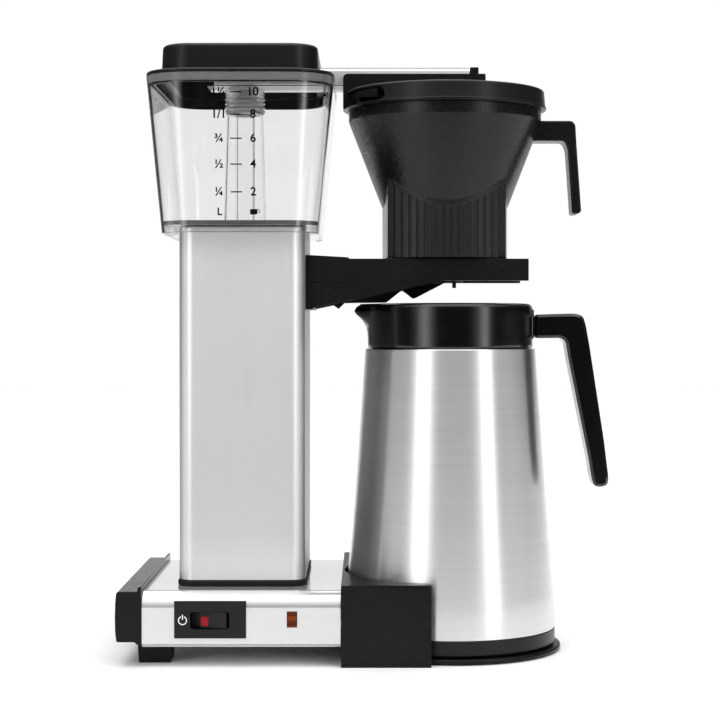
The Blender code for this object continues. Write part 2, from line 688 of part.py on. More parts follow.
def rail_outline():
    """Side view, in X and Z, of one rail with its gusset."""
    slope_end = 47.5
    outline = [(BRACKET_LEFT, 222.7), (slope_end, RAIL_BOTTOM), (RAIL_END, RAIL_BOTTOM)]
    outline += [(RAIL_END, RAIL_TOP), (COLLAR_RIGHT, RAIL_TOP), (COLLAR_RIGHT, 256.2)]
    outline += [(BRACKET_LEFT, 257.8)]
    return outline


def basket_bracket():
    front, back = MID_Y - RAIL_OUT, MID_Y + RAIL_OUT
    wall = RAIL_OUT - RAIL_IN
    bracket = make("basket_bracket", prism(rail_outline(), "Y", front, front + wall), black_plastic())
    join(bracket, prism(rail_outline(), "Y", back - wall, back))
    join(bracket, block((BRACKET_LEFT, BRACKET_LEFT + 4.5), (front + 0.5, back - 0.5), (222.8, 257.6)))
    join(bracket, block((BRACKET_LEFT + 1, COLLAR_RIGHT), (front + 0.5, back - 0.5), (252.5, 256.0)))
    for inner in ((front + wall - 1, front + wall + 5), (back - wall - 5, back - wall + 1)):
        join(bracket, block((COLLAR_RIGHT, RAIL_END), inner, (RAIL_BOTTOM, RAIL_BOTTOM + 2.5)))
    cut(bracket, turned(rod(1.8, front - 5, back + 5), LEVER_PIVOT, "Y", 12))
    for place in bracket_screw_places():
        cut(bracket, turned(rod(1.8, BRACKET_LEFT - 5, BRACKET_LEFT + 8), place, "X", 12))


def bracket_screws():
    face = BRACKET_LEFT + 4.5 + GAP
    for number, place in enumerate(bracket_screw_places(), 1):
        screw(f"bracket_screw_{number}", place, "X", (3.0, face, face + 2.2), (1.5, -50.0, face))


def drip_lever():
    """Lever that the carafe's lid lifts; its tip carries the drip valve's flange."""
    px, pz = LEVER_PIVOT
    outline = arc(px, pz, 4.0, 225, 110, 5)
    outline += [(18.0, 240.2), (48.3, 240.4), (47.0, 239.6), (29.3, 230.5), (27.6, 230.4)]
    outline += [(21.0, 235.4), (19.8, 235.2), (10.4, 227.7), (-17.4, 227.2), (-21.6, 223.5)]
    outline += [(-22.8, 224.4)]
    form = prism(outline, "Y", MID_Y - 7.0, MID_Y + 7.0)
    lever = make("drip_lever", form, black_plastic(), (px, MID_Y, pz))
    cut(lever, turned(rod(1.8, MID_Y - 12, MID_Y + 12), LEVER_PIVOT, "Y", 12))
    pin = rod(1.5, MID_Y - RAIL_OUT + 0.4, MID_Y + RAIL_OUT - 0.4)
    make("lever_pin", turned(pin, LEVER_PIVOT, "Y", 12), steel())
    points = [(x + px, z + MID_Y + 8.2, y + pz) for x, y, z in coil(3.2, 5, 8, 7.0)]
    wire("lever_spring", points, 0.5, steel(), 1)


# ---------------------------------------------------------------- carafe

def body_radius(height):
    """Outer radius of the steel body: upright at the foot, then a slightly hollow taper."""
    rise = max(height - 33.0, 0.0)
    return BODY_R - 0.0925 * rise + 0.000086 * rise * rise


def body_levels(low, high, count):
    return [low + (high - low) * i / count for i in range(count + 1)]


def carafe_body():
    centre = (CARAFE_X, MID_Y)
    foot = [(0, 4.3), (67.4, 4.3), (BODY_R, 6.0), (BODY_R, 14.8), (0, 14.8)]
    make("carafe_base", turned(foot, centre), black_plastic())
    wall = 0.9
    levels = body_levels(33.0, 193.5, 5)
    outer = [(BODY_R, 15.1)] + [(body_radius(z), z) for z in levels]
    outer += [(body_radius(193.5) - 0.8, 195.8), (53.4, 197.2)]
    inner = [(53.4 - 0.4, 197.2 - wall), (body_radius(193.5) - 0.8 - wall, 194.8)]
    inner += [(body_radius(z) - wall, z) for z in reversed(levels)] + [(BODY_R - wall, 15.1)]
    make("carafe_shell", turned(outer + inner, centre), steel())
    gap, skin = 4.2, 0.8
    levels = body_levels(30.0, 182.0, 3)
    outer = [(0, 20.0), (body_radius(30.0) - gap - 8, 20.0)]
    outer += [(body_radius(z) - gap, z) for z in levels] + [(46.6, 198.0), (46.6, 214.5)]
    inner = [(46.6 - skin, 214.5), (46.6 - skin, 198.0)]
    inner += [(body_radius(z) - gap - skin, z) for z in reversed(levels)]
    inner += [(body_radius(30.0) - gap - 8.4, 20.8), (0, 20.8)]
    make("carafe_liner", turned(outer + inner, centre), steel())


def carafe_collar():
    """Pouring collar with its spout on the left and the handle's seat on the right."""
    profile = [(46.9, COLLAR_BOTTOM), (53.6, COLLAR_BOTTOM), (COLLAR_R, COLLAR_BOTTOM + 1.0)]
    profile += [(COLLAR_R, 224.6), (53.9, 226.0), (52.6, COLLAR_TOP), (46.9, COLLAR_TOP)]
    collar = make("carafe_collar", turned(profile, (CARAFE_X, MID_Y)), gloss_plastic())
    lip = [(2.0, MID_Y + s * 15, z) for s in (-1, 1) for z in (209.0, 225.8)]
    lip += [(0.5, MID_Y, 203.0)]
    lip += [(-10.8, MID_Y + s * 2.5, 221.6) for s in (-1, 1)]
    lip += [(-9.0, MID_Y + s * 3.2, 224.8) for s in (-1, 1)]
    join(collar, hull(lip))
    groove = [(7.5, MID_Y + s * 8, z) for s in (-1, 1) for z in (217.0, 230.0)]
    groove += [(-8.4, MID_Y + s * 1.2, z) for s in (-1, 1) for z in (223.4, 230.0)]
    cut(collar, hull(groove))
    join(collar, block((101.0, 107.2), (MID_Y - 12, MID_Y + 12), (203.3, 223.4)), 1.0)


def carafe_handle():
    outline = [(107.5, 204.1), (107.5, 219.6), (134.4, 220.4), (138.6, 218.6), (141.0, 214.2)]
    outline += [(143.9, 198.2), (153.4, 136.1), (156.3, 112.0)]
    outline += [(155.6, 108.4), (151.2, 105.8), (146.8, 107.7), (145.1, 112.1)]
    outline += [(143.2, 124.5), (129.8, 191.0), (128.6, 200.2), (126.2, 203.4), (122.0, 204.3)]
    form = prism(outline, "Y", MID_Y - 11.0, MID_Y + 11.0)
    handle = make("carafe_handle", form, gloss_plastic())
    round_edges(handle, 1.8, 2, 50.0)
    place = (117.0, MID_Y)
    cut(handle, turned(rod(1.8, 200.0, 217.0), place, "Z", 12))
    cut(handle, turned(rod(3.6, 200.0, 207.4), place, "Z", 12))
    screw("handle_screw", place, "Z", (3.2, 205.0, 207.1), (1.5, 207.1, 216.0))


def carafe_lid():
    """Screw-in lid; coffee runs through its middle and down the mixing tube."""
    centre = (CARAFE_X, MID_Y)
    profile = [(7.0, 204.0), (44.6, 204.0), (44.6, 207.0), (43.4, 207.0), (43.4, 211.0)]
    profile += [(44.6, 211.0), (44.6, 214.8), (46.4, 214.8), (46.4, 223.6), (45.6, 224.5)]
    profile += [(41.0, 224.5), (39.0, 223.0), (9.5, 216.0), (7.0, 214.0)]
    lid = make("carafe_lid", turned(profile, centre), gloss_plastic(), (CARAFE_X, MID_Y, 224.5))
    for side in (-1, 1):
        y = MID_Y + side * 34.0
        join(lid, block((CARAFE_X - 9, CARAFE_X + 9), (y - 4, y + 4), (221.0, 226.2)), 0.8)
    make("lid_gasket", turned(pipe(45.4, 43.8, 207.3, 210.7), centre, "Z", 32), silicone())
    tube = [(5.2, 35.0), (6.5, 35.0), (6.5, 201.5), (9.0, 201.5), (9.0, 203.7), (5.2, 203.7)]
    make("mixing_tube", turned(tube, centre, "Z", SMALL_ROUND), black_plastic())


def build():
    clear_scene()
    base_housing()
    base_plate()
    base_screws()
    left_end_cap()
    feet()
    carafe_holder()
    switch_panel()
    power_rocker()
    switch_body()
    indicator()
    terminal_block()
    cord_gland()
    tower()
    tower_top()
    water_path()
    water_tank()
    riser_connector()
    outlet_arm()
    arm_end_plug()
    tank_lid()
    brew_basket()
    basket_lid()
    drip_valve()
    basket_bracket()
    bracket_screws()
    drip_lever()
    carafe_body()
    carafe_collar()
    carafe_handle()
    carafe_lid()


build()
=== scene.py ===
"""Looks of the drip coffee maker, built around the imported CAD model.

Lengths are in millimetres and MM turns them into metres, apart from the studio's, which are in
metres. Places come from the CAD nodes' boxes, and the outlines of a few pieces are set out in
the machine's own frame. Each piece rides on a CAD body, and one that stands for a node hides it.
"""
import json
import math

import bmesh
import bpy
from mathutils import Matrix, Vector


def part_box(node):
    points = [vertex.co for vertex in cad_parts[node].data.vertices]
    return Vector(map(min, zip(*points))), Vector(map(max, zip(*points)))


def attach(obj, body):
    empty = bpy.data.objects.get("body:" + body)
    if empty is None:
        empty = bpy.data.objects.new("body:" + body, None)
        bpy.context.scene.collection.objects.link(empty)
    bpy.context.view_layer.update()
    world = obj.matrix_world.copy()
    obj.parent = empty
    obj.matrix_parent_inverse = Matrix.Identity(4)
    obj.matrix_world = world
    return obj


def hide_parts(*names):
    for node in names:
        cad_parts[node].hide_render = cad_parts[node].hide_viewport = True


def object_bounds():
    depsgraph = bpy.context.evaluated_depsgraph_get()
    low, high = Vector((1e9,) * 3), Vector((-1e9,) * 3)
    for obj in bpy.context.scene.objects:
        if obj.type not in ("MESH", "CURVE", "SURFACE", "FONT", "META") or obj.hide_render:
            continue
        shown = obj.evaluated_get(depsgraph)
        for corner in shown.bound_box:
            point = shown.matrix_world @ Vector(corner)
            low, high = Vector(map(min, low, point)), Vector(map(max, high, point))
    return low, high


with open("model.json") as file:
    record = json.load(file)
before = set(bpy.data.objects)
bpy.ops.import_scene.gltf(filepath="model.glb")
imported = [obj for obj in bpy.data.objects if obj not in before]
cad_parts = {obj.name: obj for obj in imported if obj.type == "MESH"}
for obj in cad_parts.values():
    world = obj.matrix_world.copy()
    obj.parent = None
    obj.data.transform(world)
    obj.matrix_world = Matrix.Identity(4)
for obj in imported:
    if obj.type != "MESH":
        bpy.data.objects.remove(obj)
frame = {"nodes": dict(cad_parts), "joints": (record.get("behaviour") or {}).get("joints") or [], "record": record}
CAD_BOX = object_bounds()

MM = 0.001
FINE = 128                    # sides of a round piece, unless it says otherwise
RECORD = frame["record"]
BODIES = {node: body for body, nodes in RECORD["behaviour"]["bodies"].items() for node in nodes}
JOINTS = {joint["name"]: joint for joint in frame["joints"]}


# -------- measures

def box(node):
    """Lowest and highest corner of a CAD node in millimetres."""
    low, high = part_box(node)
    return Vector(low) / MM, Vector(high) / MM


def middle(node):
    low, high = box(node)
    return (low + high) / 2


def span(node):
    low, high = box(node)
    return high - low


# -------- forms

def arc(cx, cy, radius, start, end, steps):
    turns = [math.radians(start + (end - start) * i / steps) for i in range(steps + 1)]
    return [(cx + radius * math.cos(t), cy + radius * math.sin(t)) for t in turns]


def rounded_rect(cx, cy, width, depth, radius, steps):
    x, y = width / 2 - radius, depth / 2 - radius
    points = []
    for px, py, angle in [(x, y, 0), (-x, y, 90), (-x, -y, 180), (x, -y, 270)]:
        points += arc(cx + px, cy + py, radius, angle, angle + 90, steps)
    return points


def inset_rect(node, inset, radius, steps=20):
    """Plan of a box-like node with round corners, moved in by inset."""
    centre, size = middle(node), span(node)
    return rounded_rect(
        centre.x, centre.y, size.x - 2 * inset, size.y - 2 * inset, radius, steps)


def round_corners(outline, radius, steps=5):
    """Round every corner of an outline by radius, or by less where its sides are short."""
    count = len(outline)
    result = []
    for i in range(count):
        here = Vector(outline[i])
        back, ahead = Vector(outline[i - 1]) - here, Vector(outline[(i + 1) % count]) - here
        reach = min(radius, back.length * 0.45, ahead.length * 0.45)
        start, end = here + back.normalized() * reach, here + ahead.normalized() * reach
        for k in range(steps + 1):
            t = k / steps
            result.append(tuple((1 - t) ** 2 * start + 2 * t * (1 - t) * here + t * t * end))
    return result


def at_axis(axis, u, v, w):
    return Vector({"X": (w, u, v), "Y": (u, w, v), "Z": (u, v, w)}[axis]) * MM


def bridge(rings, closed=False):
    """Faces from each ring of points to the next; the ends are capped, or joined when closed."""
    bm = bmesh.new()
    rings = [[bm.verts.new(point) for point in ring] for ring in rings]
    pairs = list(zip(rings, rings[1:]))
    if closed:
        pairs.append((rings[-1], rings[0]))
    else:
        bm.faces.new(rings[0])
        bm.faces.new(rings[-1])
    for low, high in pairs:
        for i in range(len(low)):
            j = (i + 1) % len(low)
            bm.faces.new((low[i], low[j], high[j], high[i]))
    return bm


def prism(outline, axis, low, high):
    """An outline extruded along X, Y or Z."""
    return bridge([[at_axis(axis, u, v, w) for u, v in outline] for w in (low, high)])


def block(x, y, z):
    return prism([(x[0], y[0]), (x[1], y[0]), (x[1], y[1]), (x[0], y[1])], "Z", z[0], z[1])


def loft(loops, closed=False):
    """Outlines at given heights, bridged one to the next."""
    return bridge([[at_axis("Z", *point, z) for point in outline] for outline, z in loops], closed)


def turned(profile, centre, sides=FINE, axis="Z"):
    """A closed (radius, place along the axis) profile spun about an axis through centre."""
    bm = bmesh.new()
    cu, cv = centre
    ring = [bm.verts.new(at_axis(axis, cu + r, cv, w)) for r, w in profile]
    edges = [bm.edges.new((ring[i], ring[(i + 1) % len(ring)])) for i in range(len(ring))]
    bmesh.ops.spin(
        bm, geom=ring + edges, cent=at_axis(axis, cu, cv, 0.0), axis=at_axis(axis, 0, 0, 1 / MM),
        angle=2 * math.pi, steps=sides, use_merge=True)
    return bm


def rod(radius, low, high):
    return [(0.0, low), (radius, low), (radius, high), (0.0, high)]


def add_object(name, data):
    made = bpy.data.objects.new(name, data)
    bpy.context.scene.collection.objects.link(made)
    return made


def smooth(mesh, angle):
    """Smooth shading with hard edges where faces meet at more than angle."""
    mesh.shade_smooth()
    mesh.set_sharp_from_angle(angle=math.radians(angle))


def link_mesh(name, bm, angle=30.0):
    bmesh.ops.remove_doubles(bm, verts=bm.verts, dist=1e-7)
    bmesh.ops.recalc_face_normals(bm, faces=bm.faces)
    mesh = bpy.data.meshes.new(name)
    bm.to_mesh(mesh)
    bm.free()
    smooth(mesh, angle)
    return add_object(name, mesh)


def evaluated_mesh(target):
    bpy.context.view_layer.update()
    graph = bpy.context.evaluated_depsgraph_get()
    return bpy.data.meshes.new_from_object(target.evaluated_get(graph))


def settle(target):
    """Replace the mesh by what its modifiers make of it."""
    mesh = evaluated_mesh(target)
    target.modifiers.clear()
    target.data = mesh


def combine(target, bm, operation, bevel=0.0):
    """Join a form to target, cut it out of it or keep what they share."""
    tool = link_mesh("tool", bm)
    if bevel:
        soften(tool, bevel)
    change = target.modifiers.new("combine", "BOOLEAN")
    change.operation = operation
    change.solver = "EXACT"
    change.object = tool
    settle(target)
    bpy.data.objects.remove(tool)


def cut(target, bm):
    combine(target, bm, "DIFFERENCE")


def join(target, bm, bevel=0.0):
    combine(target, bm, "UNION", bevel)


def soften(target, width, segments=3, angle=35.0):
    """Round the edges that are sharper than angle."""
    change = target.modifiers.new("soften", "BEVEL")
    change.width = width * MM
    change.segments = segments
    change.limit_method = "ANGLE"
    change.angle_limit = math.radians(angle)
    change.use_clamp_overlap = True
    settle(target)


def finish_piece(target, finish, node, angle=35.0, slot=None):
    """Shade, colour and attach a piece that stands for a node or, given a slot, goes with it."""
    smooth(target.data, angle)
    weigh = target.modifiers.new("weigh", "WEIGHTED_NORMAL")
    weigh.keep_sharp = True
    settle(target)
    target.data.materials.clear()
    target.data.materials.append(finish)
    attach(target, BODIES[node])
    if not slot:
        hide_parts(node)


def shape(name, bm, finish, node, soft=0.0, cuts=(), joins=(), angle=35.0, slot=None):
    """The usual piece: a form, with others joined and cut, then its edges softened."""
    made = link_mesh(name, bm, angle)
    for form in joins:
        join(made, form)
    for form in cuts:
        cut(made, form)
    if soft:
        soften(made, soft)
    finish_piece(made, finish, node, angle, slot)


# -------- materials

def add_node(tree, kind, **values):
    """A shader node with its inputs set, or linked where a value is another node's output."""
    made = tree.nodes.new("ShaderNode" + kind)
    for name, value in values.items():
        feed(tree, made.inputs[name.replace("_", " ")], value)
    return made


def feed(tree, socket, value):
    if isinstance(value, bpy.types.NodeSocket):
        tree.links.new(value, socket)
    else:
        socket.default_value = value


def math_node(tree, operation, first, second=0.0):
    made = tree.nodes.new("ShaderNodeMath")
    made.operation = operation
    feed(tree, made.inputs[0], first)
    feed(tree, made.inputs[1], second)
    return made.outputs[0]


def mix_node(tree, blend_type, factor, first, second):
    made = tree.nodes.new("ShaderNodeMix")
    made.data_type, made.blend_type = "RGBA", blend_type
    for name, value in (("Factor", factor), ("A", first), ("B", second)):
        feed(tree, made.inputs[name], value)
    return made.outputs["Result"]


def coordinates(tree, measure):
    """The X, Y and Z outputs of a texture coordinate."""
    place = add_node(tree, "TexCoord").outputs[measure]
    return add_node(tree, "SeparateXYZ", Vector=place).outputs


def ramp_between(tree, value, low, high, stops):
    """Levels or colours read off along a value that runs from low to high."""
    share = add_node(tree, "MapRange", Value=value, From_Min=low, From_Max=high)
    ramp = add_node(tree, "ValToRGB", Fac=share.outputs["Result"])
    elements = ramp.color_ramp.elements
    while len(elements) < len(stops):
        elements.new(0.5)
    for element, (place, level) in zip(elements, stops):
        element.position = (place - low) / (high - low)
        element.color = (*level, 1.0) if isinstance(level, tuple) else (level, level, level, 1.0)
    return ramp.outputs["Color"]


def shader_input(made, name):
    return made.node_tree.nodes["Principled BSDF"].inputs[name]


def steer(made, name, source):
    """Link a shader input to the output that gives its value."""
    made.node_tree.links.new(source, shader_input(made, name))


def principled(name, colour, roughness, metallic=0.0, specular=0.5, **extra):
    made = bpy.data.materials.new(name)
    made.use_nodes = True
    shader_input(made, "Base Color").default_value = (*colour, 1.0)
    shader_input(made, "Specular IOR Level").default_value = specular
    for key, value in {"Roughness": roughness, "Metallic": metallic, **extra}.items():
        shader_input(made, key.replace("_", " ")).default_value = value
    return made


def noise(made, scale, stretch=(1.0, 1.0, 1.0), detail=4.0):
    """A noise pattern fixed to the piece, squeezed by stretch."""
    tree = made.node_tree
    place = add_node(tree, "TexCoord").outputs["Object"]
    place = add_node(tree, "Mapping", Vector=place, Scale=stretch).outputs["Vector"]
    return add_node(tree, "TexNoise", Vector=place, Scale=scale, Detail=detail).outputs["Fac"]


def vary_roughness(made, source, low, high):
    spread = add_node(
        made.node_tree, "MapRange", Value=source, From_Min=0.3, From_Max=0.7, To_Min=low,
        To_Max=high)
    steer(made, "Roughness", spread.outputs["Result"])


def vary_colour(made, source, dark, light):
    colour = ramp_between(made.node_tree, source, 0.0, 1.0, [(0.3, dark), (0.7, light)])
    steer(made, "Base Color", colour)


def bump(made, source, strength, distance):
    """Relief, distance in millimetres; a second call is added to the first."""
    tree = made.node_tree
    relief = add_node(tree, "Bump", Strength=strength, Distance=distance * MM, Height=source)
    normal = shader_input(made, "Normal")
    if normal.links:
        tree.links.new(normal.links[0].from_socket, relief.inputs["Normal"])
    steer(made, "Normal", relief.outputs["Normal"])


def radial_tangent(made):
    """Brushing that runs round the vertical axis."""
    tangent = add_node(made.node_tree, "Tangent")
    tangent.direction_type = "RADIAL"
    tangent.axis = "Z"
    steer(made, "Tangent", tangent.outputs["Tangent"])


def shade_along(made, measure, axis, low, high, stops):
    """Paint light and shade into the colour: multiply it by levels read off along the place or the
    direction of the surface.
    """
    tree = made.node_tree
    size = math_node(tree, "ABSOLUTE", coordinates(tree, measure)[axis])
    levels = ramp_between(tree, size, low, high, stops)
    colour = shader_input(made, "Base Color").links[0].from_socket
    steer(made, "Base Color", mix_node(tree, "MULTIPLY", 1.0, colour, levels))


def satin_aluminium(name, along, level, rough, metallic, **extra):
    """Anodised aluminium, partly matt: faint lines along the extrusion and a soft haze."""
    made = principled(name, (level, level, level), rough, metallic, **extra)
    lines = noise(made, 90.0, along, 6.0)
    vary_roughness(made, lines, rough - 0.02, rough + 0.02)
    bump(made, lines, 0.02, 0.01)
    vary_colour(made, noise(made, 25.0), (level - 0.01,) * 3, (level + 0.01,) * 3)
    return made


def brushed_steel():
    """Steel brushed round the body: fine level scratches that spread light up and down."""
    made = principled(
        "brushed_steel", (0.81, 0.805, 0.79), 0.31, 1.0, Anisotropic=0.85, Anisotropic_Rotation=0.25)
    scratches = noise(made, 60.0, (0.3, 0.3, 60.0), 8.0)
    vary_roughness(made, scratches, 0.28, 0.34)
    bump(made, scratches, 0.05, 0.02)
    vary_colour(
        made, noise(made, 30.0, (0.4, 0.4, 60.0), 5.0), (0.77, 0.765, 0.75), (0.85, 0.845, 0.83))
    radial_tangent(made)
    return made


def satin_steel():
    """Bead-blasted steel, partly matt, with faint lines along the arm."""
    made = principled("satin_steel", (0.90, 0.90, 0.895), 0.40, 0.55)
    lines = noise(made, 120.0, (0.2, 8.0, 8.0), 5.0)
    vary_roughness(made, lines, 0.36, 0.44)
    bump(made, lines, 0.04, 0.02)
    vary_colour(made, noise(made, 40.0), (0.89, 0.89, 0.885), (0.91, 0.91, 0.905))
    return made


def satin_black(name, level, rough, specular=0.28):
    """Moulded plastic with a fine even grain."""
    made = principled(name, (level, level, level * 1.03), rough, 0.0, specular)
    vary_roughness(made, noise(made, 600.0, detail=3.0), rough - 0.05, rough + 0.06)
    bump(made, noise(made, 2400.0, detail=2.0), 0.05, 0.01)
    vary_colour(
        made, noise(made, 40.0), (level * 0.85,) * 3, (level * 1.15, level * 1.15, level * 1.18))
    return made


def gloss_black():
    """Glossy moulding with a very slight orange peel."""
    made = principled("gloss_black", (0.0015, 0.0015, 0.0016), 0.17, 0.0, 0.68)
    vary_roughness(made, noise(made, 90.0), 0.15, 0.20)
    bump(made, noise(made, 300.0, detail=1.0), 0.03, 0.03)
    return made


def rubber_black():
    made = principled("rubber_black", (0.008, 0.008, 0.008), 0.7, 0.0, 0.2)
    vary_roughness(made, noise(made, 300.0), 0.6, 0.8)
    bump(made, noise(made, 1500.0), 0.2, 0.05)
    return made


def clear_plastic(name, tint, rough, ior=1.46, through=1.0):
    made = principled(name, tint, rough, 0.0, 0.5, Transmission_Weight=through, IOR=ior)
    vary_roughness(made, noise(made, 60.0), rough * 0.6, rough * 1.5)
    bump(made, noise(made, 18.0, detail=1.0), 0.03, 0.05)
    return made


def amber_lens():
    """Amber lens, its light and shade painted in: dark, with brighter painted bands across its middle and at its
    foot.
    """
    low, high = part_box("indicator_lens")
    made = principled("amber_lens", (0.2, 0.05, 0.01), 0.12, 0.0, 0.08, IOR=1.5)
    tree = made.node_tree
    dark, brown, amber = (0.075, 0.016, 0.004), (0.11, 0.022, 0.006), (0.20, 0.042, 0.007)
    # Painted light and shade: the amber bands are painted light, the dark ones painted shade
    shares = [(0.04, amber), (0.12, dark), (0.40, brown), (0.52, amber), (0.68, amber)]
    shares += [(0.76, dark), (0.97, brown)]
    stops = [(low[2] + (high[2] - low[2]) * share, colour) for share, colour in shares]
    bands = ramp_between(tree, coordinates(tree, "Object")["Z"], low[2], high[2], stops)
    steer(made, "Base Color", bands)
    bump(made, noise(made, 700.0, (0.2, 1.0, 3.0), 1.0), 0.2, 0.05)
    return made


def plain_finish(name, colour, rough, metallic=0.0, spread=0.08, specular=0.5):
    """Plain finish: a colour that varies a little, and a slight relief."""
    made = principled(name, colour, rough, metallic, specular)
    vary_colour(
        made, noise(made, 200.0), tuple(c * (1 - spread) for c in colour),
        tuple(min(c * (1 + spread), 1.0) for c in colour))
    vary_roughness(made, noise(made, 350.0), max(rough - 0.06, 0.05), rough + 0.08)
    bump(made, noise(made, 900.0), 0.1, 0.03)
    return made


ALUMINIUM = satin_aluminium("tower_aluminium", (6.0, 6.0, 0.15), 0.76, 0.36, 0.45)
# Painted shade darkens the faces to the left and right, and painted light and shade even the front's
# tone from foot to tank: darker near the foot, lighter up under the tank
shade_along(ALUMINIUM, "Normal", "X", 0.0, 1.0, [(0.0, 1.0), (0.6, 1.0), (0.9, 0.42), (1.0, 0.42)])
shade_along(ALUMINIUM, "Object", "Z", 0.0, 0.4, [
    (0.0, 0.96), (0.062, 0.96), (0.081, 0.88), (0.100, 0.90), (0.158, 1.0), (0.216, 1.10),
    (0.235, 1.14), (0.258, 1.26), (0.4, 1.26)])
BASE_METAL = satin_aluminium(
    "base_aluminium", (0.15, 6.0, 6.0), 0.70, 0.22, 0.55, Coat_Weight=1.0, Coat_Roughness=0.06)
STEEL = brushed_steel()
ARM_STEEL = satin_steel()
BLACK = satin_black("satin_black", 0.0075, 0.32, 0.25)
CAP_BLACK = satin_black("cap_black", 0.005, 0.22, 0.17)
HOLDER_BLACK = satin_black("holder_black", 0.005, 0.30, 0.18)
BASKET_BLACK = satin_black("basket_black", 0.005, 0.29, 0.33)
SLEEVE_BLACK = satin_black("sleeve_black", 0.006, 0.42, 0.38)
PANEL_BLACK = satin_black("panel_black", 0.008, 0.40, 0.25)
GLOSS = gloss_black()
RUBBER = rubber_black()
CLEAR = clear_plastic("clear_plastic", (0.955, 0.955, 0.955), 0.012)
CLEAR_INNER = clear_plastic("clear_inner", (0.985, 0.985, 0.985), 0.03, 1.07)
MILKY = clear_plastic("milky_clear", (0.93, 0.93, 0.93), 0.15, 1.25, 0.72)
SMOKY = clear_plastic("rim_clear", (0.50, 0.50, 0.50), 0.15, 1.3, 0.72)
FLOOR_CLEAR = clear_plastic("floor_clear", (0.40, 0.40, 0.40), 0.15, 1.2, 0.6)
AMBER = amber_lens()
INK = plain_finish("scale_ink", (0.003, 0.003, 0.003), 0.9, specular=0.1)
WHITE_INK = plain_finish("white_ink", (0.90, 0.90, 0.90), 0.5)
RED = plain_finish("red_mark", (0.33, 0.006, 0.010), 0.35, specular=0.2)


# -------- base

def base_section(low, high):
    """Outline in Y and Z of the folded base, with its lips turned in below."""
    wall, lip, r_top, r_low = 2.0, 30.0, 10.0, 3.4
    front, back, bottom, top = low.y, high.y, low.z, high.z
    return [
        (front + lip, bottom),
        *arc(front + r_low, bottom + r_low, r_low, 270, 215, 6),
        (front + 1.5, bottom + 1.7), (front + 1.4, bottom + 2.3),
        *arc(front + r_low, bottom + r_low, r_low, 196, 180, 3),
        *arc(front + r_top, top - r_top, r_top, 180, 90, 18),
        *arc(back - r_top, top - r_top, r_top, 90, 0, 18),
        *arc(back - r_low, bottom + r_low, r_low, 0, -90, 6),
        (back - lip, bottom), (back - lip, bottom + wall), (back - wall, bottom + wall),
        *arc(back - r_top, top - r_top, r_top - wall, 0, 90, 18),
        *arc(front + r_top, top - r_top, r_top - wall, 90, 180, 18),
        (front + wall, bottom + wall), (front + lip, bottom + wall),
    ]


def base():
    """Folded metal shell with openings for the switch, the lamp and the cord."""
    low, high = box("base_housing")
    cuts = []
    for node, gap_x, gap_z in (("switch_panel", -3.5, -2.5), ("indicator_lens", 0.3, 0.3)):
        hole_low, hole_high = box(node)
        cuts.append(block(
            (hole_low.x - gap_x, hole_high.x + gap_x), (low.y - 3, low.y + 5),
            (hole_low.z - gap_z, hole_high.z + gap_z)))
    gland = middle("cord_gland")
    cuts.append(turned(rod(6.0, high.y - 5, high.y + 5), (gland.x, gland.z), 48, "Y"))
    form = prism(base_section(low, high), "X", low.x, high.x)
    shape("base_shell", form, BASE_METAL, "base_housing", 0.0, cuts, angle=25.0)


def end_cap():
    """Moulded cap: bulging outer side, flat top and a lip against the metal."""
    low, high = box("left_end_cap")
    left, bottom, right, top = low.x, low.z, high.x, high.z
    outline = [
        (right - 3.9, bottom + 1.6), (left + 1.0, bottom + 1.6), (left + 0.2, bottom + 8.0),
        (left, bottom + 16.0), (left + 0.2, bottom + 26.0), (left + 0.8, bottom + 31.8),
        (left + 1.7, top - 3.0), (right - 2.5, top - 3.0), (right - 2.1, top - 0.5),
        (right - 1.6, top), (right, top), (right, bottom), (right - 2.9, bottom),
    ]
    form = prism(round_corners(outline, 1.0, 4), "Y", low.y, high.y)
    hollow = block((left + 3.4, right + 5), (low.y + 3, high.y - 3), (bottom + 4.5, top - 5.6))
    shape("end_cap", form, CAP_BLACK, "left_end_cap", 0.9, [hollow])


def feet():
    for name in ("foot_front_left", "foot_rear_left"):
        low, high = box(name)
        outline = [(low.x, high.z), (low.x + 0.8, low.z), (high.x - 3.6, low.z), (high.x - 3.2, high.z)]
        form = prism(round_corners(outline, 0.7, 4), "Y", low.y, high.y)
        shape(f"{name}_pad", form, RUBBER, name, 0.5)


def holder():
    """Block round the carafe's left side and the disc below the carafe."""
    low, high = box("carafe_holder")
    carafe = middle("carafe_base")
    right, rear_right = carafe.x - 15.1, carafe.x - 7.5
    top, platform = high.z, 4.0
    outline = [
        (low.x, low.y), (right, low.y), (right, carafe.y), (rear_right, carafe.y),
        (rear_right, high.y), (low.x, high.y),
    ]
    made = link_mesh("holder", prism(outline, "Z", low.z, top))
    recess = rod(span("carafe_base").x / 2 + 0.7, platform, top + 5)
    cut(made, turned(recess, carafe[:2], 192))
    # The bevel along the front top edge fades out towards the left
    slope = [
        (low.y - 2, top + 0.02), (low.y - 2, top - 4.2), (low.y, top - 2.4),
        (low.y + 1.4, top + 0.02),
    ]
    bevel = prism(slope, "X", low.x - 2, right + 2)
    bmesh.ops.rotate(
        bevel, verts=bevel.verts, cent=Vector((right, low.y, top)) * MM,
        matrix=Matrix.Rotation(math.radians(2.6), 3, "Y"))
    cut(made, bevel)
    soften(made, 0.8, 3, 50.0)
    for vertex in made.data.vertices:
        vertex.co.y = max(vertex.co.y, low.y * MM)
    flat = high.x - carafe.x - 2.7
    disc = [
        (0, 0.8), (flat, 0.8), *arc(flat, 2.4, 1.6, -90, 60, 8), (flat - 1.0, platform),
        (0, platform),
    ]
    join(made, turned(disc, (carafe.x + 1.1, carafe.y), 192))
    finish_piece(made, HOLDER_BLACK, "carafe_holder")


